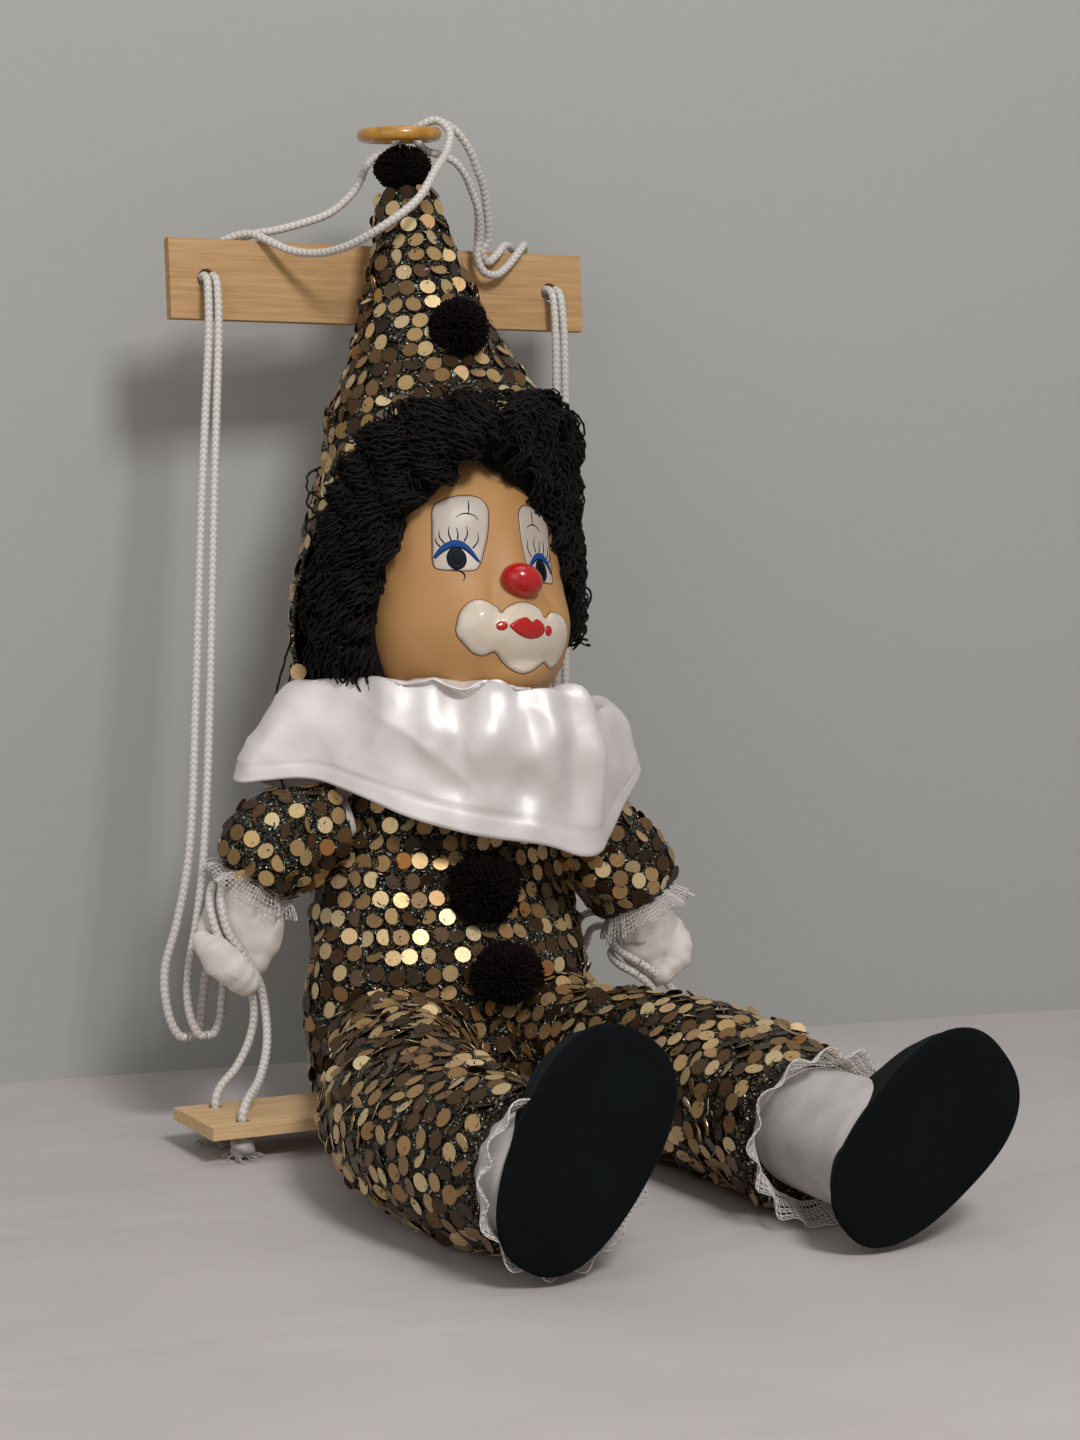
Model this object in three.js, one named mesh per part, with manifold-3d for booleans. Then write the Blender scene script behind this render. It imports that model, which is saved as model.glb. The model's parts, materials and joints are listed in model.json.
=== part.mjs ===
// A clown doll that sits on a swing: moulded head, yarn wig, pointed hat, stuffed cloth body and limbs in a
// sequinned suit, cloth fists that hold doubled cords, a seat plank, a spreader bar and a hanging ring.
// Millimetres, +Z up. The doll faces -Y and its right hand is at -X. The origin is on the surface that the
// doll sits on, under the flat of its seat.
import * as THREE from "three";
import { mergeVertices } from "three/addons/utils/BufferGeometryUtils.js";
import Module from "manifold-3d";

const wasm = await Module();
wasm.setup();

// General clearances and cloth
const GAP = 0.35;
const SOFT_GAP = 0.5;
const CLOTH = 2.4;

// Wooden parts
const PLY = 4.2;
const BAR_LENGTH = 162;
const BAR_HEIGHT = 28;
const BAR_HOLE_RADIUS = 3.5;
const BAR_HOLE_SPACING = 135;
const BAR_LEAN = THREE.MathUtils.degToRad(5);
const BAR_CENTRE = new THREE.Vector3(1.5, 40.6, 290.5);
const RING_RADIUS = 12.5;
const RING_SECTION = 2.5;
const RING_CENTRE = new THREE.Vector3(1.5, 24.7, 342.4);
const RING_TILT_BACK = THREE.MathUtils.degToRad(3);
const RING_TILT_SIDE = THREE.MathUtils.degToRad(-3);
const SEAT_LENGTH = 200;
const SEAT_WIDTH = 36;
const SEAT_HOLE_RADIUS = 2.4;
const SEAT_HOLE_X = 87.5;
const SEAT_HOLE_SPACING = 24;
const SEAT_CENTRE_Y = -30;
const KNOT_HEIGHT = 7.7;
const KNOT_RADIUS = 4.4;

// Cord
const CORD = 2.8;
const CORD_SIDES = 8;
const CORD_STEP = 3 * CORD;

// Head and hat, measured along the head's own axis from the neck
const NECK = new THREE.Vector3(9, -17, 138);
const HEAD_LEAN = THREE.MathUtils.degToRad(12);
const HEAD_TURN = THREE.MathUtils.degToRad(10);
const HEAD_WALL = 3;
const NECK_RADIUS = 13.5;
const FLANGE_RADIUS = 16.5;
const FLANGE_DEPTH = 14;
const CASING_RADIUS = 17.8;
const HAT_RIM = 92;
const HAT_TIP = 187;
const WIG_TOP = 106;
const WIG_BOTTOM = 9;
const FLAP_BOTTOM = 14;
const TIP_POMPOM_RADIUS = 11.3;
const TIP_POMPOM_HEIGHT = 18;
const HAT_POMPOM_RADIUS = 11;
const CHEST_POMPOM_RADIUS = 13;

// Limbs
const ARM_RADIUS = 8;
const LEG_RADIUS = 13.5;
const SHOE_LENGTH = 73;
const SHOE_WIDTH = 45;
const SOLE_THICKNESS = 3.2;
const SHOE_DEPTH = 30;
const LACE = 1.1;

const COLOURS = {
  sequins: { color: 0xb0935a, roughness: 0.35, metalness: 0.6 },
  body: { color: 0xd9d2c4, roughness: 0.9, metalness: 0 },
  skin: { color: 0xc8955f, roughness: 0.4, metalness: 0 },
  yarn: { color: 0x1a1010, roughness: 0.95, metalness: 0 },
  pompom: { color: 0x2a1614, roughness: 0.95, metalness: 0 },
  satin: { color: 0xd8d2d6, roughness: 0.3, metalness: 0 },
  lace: { color: 0xdad6d2, roughness: 0.8, metalness: 0 },
  shoe: { color: 0x0c1113, roughness: 0.85, metalness: 0 },
  plywood: { color: 0xc39a63, roughness: 0.6, metalness: 0 },
  ring: { color: 0xd29a2f, roughness: 0.3, metalness: 0 },
  cord: { color: 0xdedad6, roughness: 0.7, metalness: 0 },
};

const doll = new THREE.Group();

// Solids: a closed geometry becomes a solid, and a solid becomes a geometry
function solidOf(geometry, matrix) {
  const bare = new THREE.BufferGeometry();
  bare.setAttribute("position", geometry.getAttribute("position").clone());
  if (geometry.index) bare.setIndex(geometry.index);
  if (matrix) bare.applyMatrix4(matrix);
  const merged = mergeVertices(bare, 1e-4);
  return new wasm.Manifold(
    new wasm.Mesh({
      numProp: 3,
      vertProperties: merged.attributes.position.array,
      triVerts: new Uint32Array(merged.index.array),
    }),
  );
}

function geometryOf(solid) {
  const mesh = solid.getMesh();
  const geometry = new THREE.BufferGeometry();
  geometry.setAttribute("position", new THREE.BufferAttribute(mesh.vertProperties, 3));
  geometry.setIndex(new THREE.BufferAttribute(mesh.triVerts, 1));
  geometry.computeVertexNormals();
  return geometry;
}

function without(solid, ...cutters) {
  return cutters.reduce((left, cutter) => left.subtract(cutter), solid);
}

function add(name, solid, finish, group = doll) {
  const geometry = solid.isBufferGeometry ? solid : geometryOf(solid);
  const mesh = new THREE.Mesh(geometry, new THREE.MeshStandardMaterial(COLOURS[finish]));
  mesh.name = name;
  group.add(mesh);
  return mesh;
}

function box(low, high) {
  const size = high.map((h, i) => h - low[i]);
  const middle = high.map((h, i) => (h + low[i]) / 2);
  return solidOf(new THREE.BoxGeometry(...size).translate(...middle));
}

function ellipsoid(centre, radii, matrix = new THREE.Matrix4(), across = 12) {
  const ball = new THREE.SphereGeometry(1, across, across / 2);
  ball.scale(...radii);
  return solidOf(ball.applyMatrix4(matrix).translate(...centre));
}

// A lofted solid through rings of points, closed at both ends
function loft(rings) {
  const sides = rings[0].length;
  const points = rings.flat();
  const index = [];
  for (let r = 0; r + 1 < rings.length; r++)
    for (let s = 0; s < sides; s++) {
      const a = r * sides + s;
      const b = r * sides + ((s + 1) % sides);
      index.push(a, b, b + sides, a, b + sides, a + sides);
    }
  const middle = (ring) =>
    ring.reduce((sum, p) => sum.add(p), new THREE.Vector3()).divideScalar(sides);
  const low = points.length;
  points.push(middle(rings[0]), middle(rings.at(-1)));
  const top = (rings.length - 1) * sides;
  for (let s = 0; s < sides; s++) {
    const next = (s + 1) % sides;
    index.push(low, next, s, low + 1, top + s, top + next);
  }
  const geometry = new THREE.BufferGeometry().setFromPoints(points);
  geometry.setIndex(index);
  return geometry;
}

// Values between stations, smooth from one to the next
function between(stations, count) {
  const keys = Object.keys(stations[0]);
  const line = (key) =>
    new THREE.CatmullRomCurve3(stations.map((s) => new THREE.Vector3(s[key], 0, 0)));
  const lines = Object.fromEntries(keys.map((key) => [key, line(key)]));
  return Array.from({ length: count + 1 }, (_, i) =>
    Object.fromEntries(keys.map((key) => [key, lines[key].getPoint(i / count).x])),
  );
}

// A level oval ring: wide to each side, front towards -Y and back towards +Y
function oval({ z, wide, front, back, x = 0, y = 0 }, sides, grow = 0) {
  return Array.from({ length: sides }, (_, i) => {
    const turn = (2 * Math.PI * i) / sides;
    const deep = Math.sin(turn) < 0 ? front : back;
    return new THREE.Vector3(
      x + (wide + grow) * Math.cos(turn),
      y + (deep + grow) * Math.sin(turn),
      z,
    );
  });
}

// A stuffed limb: round sections along a smooth line, with rounded ends
function limb(line, radii, options = {}) {
  const { grow = 0, sides = 20, steps = 12, roundStart = true, roundEnd = true, reach = 0 } = options;
  const curve = new THREE.CatmullRomCurve3(line.map((p) => new THREE.Vector3(...p)));
  const sizes = new THREE.CatmullRomCurve3(radii.map((r) => new THREE.Vector3(r + grow, 0, 0)));
  const up = new THREE.Vector3(0, 0, 1);
  const ring = (centre, along, radius) => {
    const side = new THREE.Vector3().crossVectors(up, along).normalize();
    const rise = new THREE.Vector3().crossVectors(along, side);
    return Array.from({ length: sides }, (_, i) => {
      const turn = (2 * Math.PI * i) / sides;
      return centre
        .clone()
        .addScaledVector(side, radius * Math.cos(turn))
        .addScaledVector(rise, radius * Math.sin(turn));
    });
  };
  const rings = [];
  const cap = (t, sign) => {
    const centre = curve.getPointAt(t);
    const along = curve.getTangentAt(t);
    const radius = sizes.getPoint(t).x;
    const tilts = sign < 0 ? [80, 55, 28] : [28, 55, 80];
    tilts.forEach((degrees) => {
      const tilt = THREE.MathUtils.degToRad(degrees);
      const moved = centre.clone().addScaledVector(along, sign * 0.7 * radius * Math.sin(tilt));
      rings.push(ring(moved, along, radius * Math.cos(tilt)));
    });
  };
  if (roundStart) cap(0, -1);
  for (let i = 0; i <= steps; i++) {
    const t = i / steps;
    rings.push(ring(curve.getPointAt(t), curve.getTangentAt(t), sizes.getPoint(t).x));
  }
  if (roundEnd) cap(1, 1);
  if (reach) {
    const beyond = curve.getPointAt(1).addScaledVector(curve.getTangentAt(1), reach);
    rings.push(ring(beyond, curve.getTangentAt(1), sizes.getPoint(1).x));
  }
  return solidOf(loft(rings));
}

function lathe(profile, around = 18) {
  const points = profile.map(([r, z]) => new THREE.Vector2(r, z));
  const turned = new THREE.LatheGeometry(points, around);
  return solidOf(turned.rotateX(Math.PI / 2));
}

// A cord's tube through hand-chosen points
function cordShape(points, grow = 0) {
  const radius = CORD / 2 + grow;
  const curve = new THREE.CatmullRomCurve3(
    points.map((p) => new THREE.Vector3(...p)),
    false,
    "centripetal",
  );
  const section = new THREE.Shape(
    Array.from({ length: CORD_SIDES }, (_, i) => {
      const turn = (2 * Math.PI * i) / CORD_SIDES;
      return new THREE.Vector2(radius * Math.cos(turn), radius * Math.sin(turn));
    }),
  );
  const steps = Math.min(80, Math.ceil(curve.getLength() / CORD_STEP));
  return solidOf(new THREE.ExtrudeGeometry(section, { steps, extrudePath: curve }));
}

const floor = box([-300, -400, -50], [300, 200, 0]);

// The head's own frame: origin at the neck, +Z up the head, face towards -Y
const headFrame = new THREE.Group();
headFrame.position.copy(NECK);
headFrame.rotation.set(-HEAD_LEAN, 0, HEAD_TURN, "ZXY");
headFrame.updateMatrixWorld(true);
doll.add(headFrame);

const HEAD_STATIONS = [
  { z: 2, wide: 12, front: 12, back: 13 },
  { z: 5, wide: 23, front: 26, back: 20 },
  { z: 13, wide: 32, front: 34.5, back: 28 },
  { z: 27, wide: 38, front: 38, back: 34 },
  { z: 42, wide: 38.5, front: 37.5, back: 37 },
  { z: 58, wide: 38, front: 37, back: 38 },
  { z: 74, wide: 34, front: 34, back: 35 },
  { z: 87, wide: 24, front: 25, back: 26 },
  { z: 94, wide: 10, front: 11, back: 11 },
];

function headShape(grow, sides = 20) {
  const rings = between(HEAD_STATIONS, 9).map((s) => {
    const lift = s.z > 48 ? grow : -grow;
    const edge = Math.abs(s.z - 48) / 48;
    return oval({ ...s, z: s.z + lift * edge }, sides, grow);
  });
  return solidOf(loft(rings));
}

function makeHead() {
  const neck = lathe([
    [0, -FLANGE_DEPTH],
    [FLANGE_RADIUS, -FLANGE_DEPTH],
    [FLANGE_RADIUS, -FLANGE_DEPTH + 3],
    [NECK_RADIUS, -FLANGE_DEPTH + 4],
    [NECK_RADIUS, 8],
    [0, 8],
  ]);
  const nose = ellipsoid([0, -39.5, 40], [6.8, 6.6, 6], undefined, 12);
  const cheekLeft = ellipsoid([-13, -31, 23], [11, 8, 10], undefined, 10);
  const cheekRight = ellipsoid([13, -31, 23], [11, 8, 10], undefined, 10);
  const lips = ellipsoid([0, -37, 24.5], [7, 3.6, 3.6], undefined, 10);
  const bore = lathe([
    [0, -FLANGE_DEPTH - 1],
    [NECK_RADIUS - HEAD_WALL, -FLANGE_DEPTH - 1],
    [NECK_RADIUS - HEAD_WALL, 9],
    [0, 9],
  ]);
  const outside = [neck, nose, cheekLeft, cheekRight, lips].reduce(
    (whole, piece) => whole.add(piece),
    headShape(0),
  );
  add("head", without(outside, headShape(-HEAD_WALL, 14), bore), "skin", headFrame);
}

// The hat's outside, radius against height
const HAT_PROFILE = [
  [42, HAT_RIM],
  [40, 100],
  [36.5, 112],
  [29, 127],
  [22, 144],
  [17.5, 158],
  [13.5, 174],
  [10.5, HAT_TIP],
];

function hatShape(grow, low, high, around = 18) {
  const inside = HAT_PROFILE.filter(([, z]) => z > low + 0.1 && z < high - 0.1);
  return lathe([
    [0, low],
    [HAT_PROFILE[0][0] + grow, low],
    ...inside.map(([r, z]) => [r + grow, z]),
    [HAT_PROFILE.at(-1)[0] + grow, high],
    [0, high],
  ], around);
}

function makeHat() {
  const shell = hatShape(0, HAT_RIM, HAT_TIP).subtract(hatShape(-CLOTH, HAT_RIM - 1, HAT_TIP - CLOTH));
  add("hat", shell, "sequins", headFrame);
  const filling = hatShape(-CLOTH - SOFT_GAP, HAT_RIM + 1, HAT_TIP - CLOTH - SOFT_GAP);
  add("hat_stuffing", without(filling, headShape(SOFT_GAP)), "body", headFrame);
  const up = (share) => HAT_TIP + share * TIP_POMPOM_HEIGHT;
  const tip = lathe([
    [0, HAT_TIP + GAP],
    [0.44 * TIP_POMPOM_RADIUS, HAT_TIP + GAP],
    [0.81 * TIP_POMPOM_RADIUS, up(0.11)],
    [TIP_POMPOM_RADIUS, up(0.39)],
    [0.94 * TIP_POMPOM_RADIUS, up(0.67)],
    [0.67 * TIP_POMPOM_RADIUS, up(0.92)],
    [0.26 * TIP_POMPOM_RADIUS, up(1)],
    [0, up(1)],
  ]);
  add("hat_tip_pompom", tip, "pompom", headFrame);
  const front = ellipsoid([-7, -30, 131], Array(3).fill(HAT_POMPOM_RADIUS));
  add("hat_front_pompom", front.subtract(hatShape(GAP, HAT_RIM, HAT_TIP)), "pompom", headFrame);
}

const WIG_STATIONS = [
  { z: WIG_BOTTOM, wide: 44, front: 6, back: 42, y: 4 },
  { z: 20, wide: 51, front: 22, back: 46, y: 5 },
  { z: 38, wide: 53, front: 33, back: 46, y: 5 },
  { z: 60, wide: 52, front: 40, back: 43, y: 4 },
  { z: 80, wide: 51, front: 44, back: 38, y: 3 },
  { z: 95, wide: 50, front: 48, back: 36, y: 2 },
  { z: WIG_TOP - 2, wide: 45, front: 44, back: 34, y: 2 },
  { z: WIG_TOP, wide: 41, front: 40, back: 30, y: 2 },
];

// The hood's back panel, from the hat's rim down behind the hair
const FLAP_STATIONS = [
  { z: FLAP_BOTTOM, out: 58 },
  { z: 30, out: 59.5 },
  { z: 48, out: 57 },
  { z: 66, out: 52 },
  { z: 80, out: 46.5 },
  { z: HAT_RIM - GAP, out: 42 },
];
const FLAP_SPREAD = THREE.MathUtils.degToRad(66);

// A wedge round the head's axis, whose rounded side follows the panel
function wedge(grow, spread, hub, overrun) {
  const across = 10;
  const levels = between(FLAP_STATIONS, 5);
  levels[0].z -= overrun;
  levels.at(-1).z += overrun;
  const ring = ({ z, out }) => {
    const arc = Array.from({ length: across + 1 }, (_, i) => {
      const turn = Math.PI / 2 + spread * ((2 * i) / across - 1);
      const radius = out + grow;
      return new THREE.Vector3(radius * Math.cos(turn), radius * Math.sin(turn), z);
    });
    return [...arc, new THREE.Vector3(0, hub, z)];
  };
  return solidOf(loft(levels.map(ring)));
}

function flapShape(outGrow, inGrow, spread) {
  return without(wedge(outGrow, spread, 0, 0), wedge(-CLOTH - inGrow, spread + 0.1, -12, 1));
}

function makeWig() {
  const mop = solidOf(loft(between(WIG_STATIONS, 7).map((s) => oval(s, 20))));
  const face = box([-44, -90, -20], [44, -8, 80]);
  const under = lathe([
    [0, -20],
    [33, -20],
    [33, 14],
    [20, 30],
    [0, 30],
  ]);
  const crown = hatShape(SOFT_GAP, HAT_RIM - GAP, HAT_TIP);
  const behind = flapShape(40, SOFT_GAP, FLAP_SPREAD + 0.08);
  const collar = collarShape(SOFT_GAP, 40, headFrame.matrixWorld.clone().invert());
  const hair = without(mop, headShape(1.6, 14), face, under, crown, behind, collar);
  add("wig", hair, "yarn", headFrame);
  add("hat_back_flap", without(flapShape(0, 0, FLAP_SPREAD), collar), "sequins", headFrame);
}

// The trunk: level ovals from the seat up to the neck
const TRUNK_STATIONS = [
  { z: 0, wide: 37, front: 24, back: 24, x: 0, y: -8 },
  { z: 8, wide: 45, front: 31, back: 29, x: 0, y: -11 },
  { z: 22, wide: 50, front: 36, back: 33, x: 0, y: -15 },
  { z: 38, wide: 52, front: 35, back: 34, x: 0, y: -17 },
  { z: 55, wide: 51, front: 33, back: 34, x: 0, y: -16 },
  { z: 70, wide: 49, front: 30, back: 32, x: 1, y: -12 },
  { z: 85, wide: 46, front: 25, back: 27, x: 2, y: -9 },
  { z: 100, wide: 42, front: 23, back: 23, x: 3, y: -9 },
  { z: 113, wide: 36, front: 21, back: 20, x: 4, y: -11 },
  { z: 123, wide: 25, front: 18, back: 17, x: 7, y: -14 },
  { z: 127, wide: 19, front: 17, back: 16, x: 8, y: -16 },
];
const trunkShape = (grow, sides = 22) => {
  const rings = between(TRUNK_STATIONS, 9).map((s) => {
    const edge = (s.z - 64) / 64;
    return oval({ ...s, z: s.z + grow * edge }, sides, grow);
  });
  return solidOf(loft(rings));
};

const BODY_STATIONS = [
  { z: 16, wide: 34, front: 12, back: 20, x: 0, y: -12 },
  { z: 26, wide: 40, front: 18, back: 24, x: 0, y: -13 },
  { z: 42, wide: 42, front: 19, back: 26, x: 0, y: -13 },
  { z: 60, wide: 41, front: 19, back: 26, x: 0, y: -12 },
  { z: 78, wide: 38, front: 18, back: 24, x: 1, y: -10 },
  { z: 96, wide: 34, front: 17, back: 19, x: 2, y: -9 },
  { z: 110, wide: 28, front: 17, back: 16, x: 4, y: -11 },
  { z: 119, wide: 21, front: 18, back: 16, x: 7, y: -14 },
];

// Limbs run from their seams on the body, through each named bend, to the wrist or ankle
const ARMS = {
  right: {
    side: -1,
    pivot: [-36, -12, 106],
    line: [[-36, -12, 106], [-52, -10, 102], [-63, -9.5, 94], [-68.5, -8, 84], [-72, -8, 72]],
    sleeve: [[-40, -11, 103], [-54, -10, 101], [-63, -10, 95], [-67.5, -8, 87]],
    hand: [-75, -8.2, 67.5],
    palm: [14.5, 9.5, 14.5],
    thumb: [[-12.5, -8, 1], [-7, -13, -4], [-1, -14, -9], [4, -11.5, -13.5]],
  },
  left: {
    side: 1,
    pivot: [41, -13, 104],
    line: [[41, -13, 104], [56, -14, 97], [68, -16, 84], [75, -18, 70], [78, -18, 58]],
    sleeve: [[45, -13, 101], [58, -14.5, 95], [69, -16, 83], [75, -18, 71]],
    hand: [78, -17.7, 54.5],
    palm: [11.5, 9.5, 14],
    thumb: [[8, 3, 8], [11.5, -1, 3], [11.5, -6, -3.5], [6.5, -9, -9]],
  },
};
const SLEEVE_RADII = [15, 17.5, 18.5, 16.5];
const LEGS = {
  right: {
    pivot: [-24, -38, 27],
    line: [[-24, -38, 27], [-46, -75, 27], [-63, -120, 26.5], [-71, -160, 25.5], [-68, -197, 24]],
    trouser: [[-27, -36, 27], [-46, -75, 26], [-63, -120, 26], [-71, -158, 25.5], [-70.5, -180, 24.5]],
    lace: { centre: [-69.5, -186, 25], along: [0.1, -1, 0] },
    sole: [-59, -225, 34.2],
    roll: THREE.MathUtils.degToRad(22),
  },
  left: {
    pivot: [26, -38, 27],
    line: [[26, -38, 27], [34, -80, 27], [39, -125, 26.5], [38, -168, 25.5], [33, -210, 22]],
    trouser: [[29, -36, 27], [34, -80, 26], [38.8, -124, 26], [37.5, -165, 25.5], [34, -190, 24.5]],
    lace: { centre: [33, -196, 25], along: [-0.1, -1, 0] },
    sole: [44.5, -238, 30.6],
    roll: THREE.MathUtils.degToRad(39),
  },
};
const TROUSER_RADII = [24, 26, 26.5, 25, 19];

const trouserShape = ({ trouser }, grow) =>
  limb(trouser, TROUSER_RADII, { grow, sides: 16, steps: 6, roundStart: false });
const legShape = ({ line }, grow) =>
  limb(line, [LEG_RADIUS, LEG_RADIUS, LEG_RADIUS, LEG_RADIUS, LEG_RADIUS], {
    grow,
    sides: 12,
    steps: 5,
    roundEnd: false,
  });
const armShape = ({ line }, grow) =>
  limb(line, [ARM_RADIUS, ARM_RADIUS, ARM_RADIUS, ARM_RADIUS - 0.5, ARM_RADIUS - 0.5], {
    grow,
    sides: 10,
    steps: 4,
    roundEnd: false,
  });
const seatSpace = box(
  [-SEAT_LENGTH, SEAT_CENTRE_Y - SEAT_WIDTH / 2 - SOFT_GAP, -1],
  [SEAT_LENGTH, SEAT_CENTRE_Y + SEAT_WIDTH / 2 + SOFT_GAP, KNOT_HEIGHT + GAP + PLY + SOFT_GAP],
);

function makeTrunk() {
  const neckSpace = lathe([
    [0, -27],
    [CASING_RADIUS + SOFT_GAP, -27],
    [CASING_RADIUS + SOFT_GAP, 20],
    [0, 20],
  ]).transform(headFrame.matrixWorld.elements);
  const limbSpaces = [
    ...Object.values(ARMS).map((arm) => armShape(arm, SOFT_GAP)),
    ...Object.values(LEGS).map((leg) => legShape(leg, SOFT_GAP)),
  ];
  const suit = without(trunkShape(0), trunkShape(-CLOTH, 16), neckSpace, seatSpace, collarSpace, ...limbSpaces);
  add("suit_trunk", suit, "sequins");
  const casing = lathe([
    [0, -26],
    [CASING_RADIUS, -26],
    [CASING_RADIUS, 1],
    [0, 1],
  ]).transform(headFrame.matrixWorld.elements);
  const flangeSpace = lathe([
    [0, -FLANGE_DEPTH - SOFT_GAP],
    [FLANGE_RADIUS + SOFT_GAP, -FLANGE_DEPTH - SOFT_GAP],
    [FLANGE_RADIUS + SOFT_GAP, -FLANGE_DEPTH + 3.6],
    [NECK_RADIUS + SOFT_GAP, -FLANGE_DEPTH + 4.6],
    [NECK_RADIUS + SOFT_GAP, 5],
    [0, 5],
  ]).transform(headFrame.matrixWorld.elements);
  const inside = trunkShape(-CLOTH - 2 * SOFT_GAP, 16);
  const stuffed = solidOf(loft(between(BODY_STATIONS, 6).map((s) => oval(s, 16)))).intersect(inside).add(casing);
  const sockets = [
    ...Object.values(ARMS).map((arm) => armShape(arm, SOFT_GAP)),
    ...Object.values(ARMS).map(({ pivot }) => ellipsoid(pivot, Array(3).fill(ARM_RADIUS + 1.5))),
    ...Object.values(LEGS).map((leg) => legShape(leg, SOFT_GAP)),
    ...Object.values(LEGS).map(({ pivot }) => ellipsoid(pivot, Array(3).fill(LEG_RADIUS + 1.5))),
  ];
  add("cloth_body", without(stuffed, flangeSpace, ...sockets), "body");
}

// A closed band: rings that follow each other and come back to the first one
function tubeOf(rings, place) {
  const around = rings[0].length;
  const index = [];
  rings.forEach((_, r) => {
    const next = (r + 1) % rings.length;
    for (let s = 0; s < around; s++) {
      const t = (s + 1) % around;
      index.push(r * around + s, next * around + t, r * around + t);
      index.push(r * around + s, next * around + s, next * around + t);
    }
  });
  const geometry = new THREE.BufferGeometry().setFromPoints(rings.flat());
  geometry.setIndex(index);
  return solidOf(geometry, place);
}

// A frill: a ring of lace that flares and waves
function frill(centre, along, inner, outer, length, waves) {
  const around = 3 * waves;
  const ring = (radius, lift, wave) =>
    Array.from({ length: around }, (_, i) => {
      const turn = (2 * Math.PI * i) / around;
      const r = radius + wave * Math.sin(waves * turn);
      return new THREE.Vector3(r * Math.cos(turn), r * Math.sin(turn), lift);
    });
  const rings = [
    ring(inner - LACE, LACE, 0),
    ring(outer - LACE, length + LACE, 1.2),
    ring(outer, length, 1.2),
    ring(inner, 0, 0),
  ];
  const direction = new THREE.Vector3(...along).normalize();
  const turn = new THREE.Quaternion().setFromUnitVectors(new THREE.Vector3(0, 0, 1), direction);
  const place = new THREE.Matrix4().compose(
    new THREE.Vector3(...centre),
    turn,
    new THREE.Vector3(1, 1, 1),
  );
  return tubeOf(rings, place);
}

// The fist's frame: across to the viewer's right, up, and away from the viewer
const VIEW = THREE.MathUtils.degToRad(-28);
const ACROSS = new THREE.Vector3(Math.cos(VIEW), Math.sin(VIEW), 0);
const AWAY = new THREE.Vector3(-Math.sin(VIEW), Math.cos(VIEW), 0);
const fistFrame = (hand) =>
  new THREE.Matrix4()
    .makeBasis(ACROSS, AWAY, new THREE.Vector3(0, 0, 1))
    .setPosition(...hand);

const THUMB_RADII = [3.8, 4.6, 4.6, 3.8];

function makeArm(name, arm, trunk, cords) {
  const fist = fistFrame(arm.hand);
  const palmShape = (grow) => {
    const ball = new THREE.SphereGeometry(1, 14, 8);
    const [across, high, deep] = [arm.palm[0], arm.palm[2], arm.palm[1]].map((r) => r + grow);
    return solidOf(ball.scale(across, deep, high).translate(1.5, 0, 3), fist);
  };
  const thumbLine = arm.thumb.map((p) => new THREE.Vector3(...p).applyMatrix4(fist).toArray());
  const thumbShape = (grow) => limb(thumbLine, THUMB_RADII, { sides: 10, steps: 5, grow });
  const cuff = new THREE.Vector3(...arm.sleeve.at(-1));
  const along = cuff.clone().sub(new THREE.Vector3(...arm.sleeve.at(-2))).normalize();
  const lacePlace = cuff.clone().addScaledVector(along, GAP);
  const core = armShape(arm, 0);
  const options = { sides: 12, steps: 4, roundEnd: false };
  const outside = limb(arm.sleeve, SLEEVE_RADII, options);
  const lining = limb(arm.sleeve, SLEEVE_RADII, { ...options, grow: -CLOTH, reach: 5 });
  const sleeve = without(outside, lining, armShape(arm, SOFT_GAP), trunk, collarSpace);
  const cuffLace = frill(lacePlace.toArray(), along.toArray(), SLEEVE_RADII.at(-1), 20.5, 5, 9);
  add("arm_" + name, without(core, palmShape(GAP)), "body");
  add("sleeve_" + name, sleeve, "sequins");
  add("wrist_lace_" + name, without(cuffLace, core, palmShape(GAP), thumbShape(GAP), ...cords), "lace");
  add("hand_" + name, without(palmShape(0), thumbShape(GAP), ...cords), "body");
  add("thumb_" + name, without(thumbShape(0), ...cords), "body");
}

// A shoe's own frame: +Y towards the toe, +Z back along the leg, sole at the bottom
const SHOE_STATIONS = [
  { z: SOLE_THICKNESS + GAP, long: SHOE_LENGTH - 1, wide: SHOE_WIDTH - 1, back: 0 },
  { z: 9, long: SHOE_LENGTH, wide: SHOE_WIDTH, back: 0 },
  { z: 16, long: SHOE_LENGTH - 7, wide: SHOE_WIDTH - 2, back: -3 },
  { z: 22, long: SHOE_LENGTH - 20, wide: SHOE_WIDTH - 6, back: -8 },
  { z: 27, long: SHOE_LENGTH - 32, wide: SHOE_WIDTH - 11, back: -13 },
  { z: SHOE_DEPTH, long: SHOE_LENGTH - 38, wide: SHOE_WIDTH - 14, back: -15 },
];

function soleRing(z, long, wide, back) {
  const around = 20;
  return Array.from({ length: around }, (_, i) => {
    const turn = (2 * Math.PI * i) / around;
    const towardsToe = Math.sin(turn);
    const ball = 1 + 0.1 * towardsToe;
    return new THREE.Vector3(
      (wide / 2) * ball * Math.cos(turn),
      (long / 2) * towardsToe + back,
      z,
    );
  });
}

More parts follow.
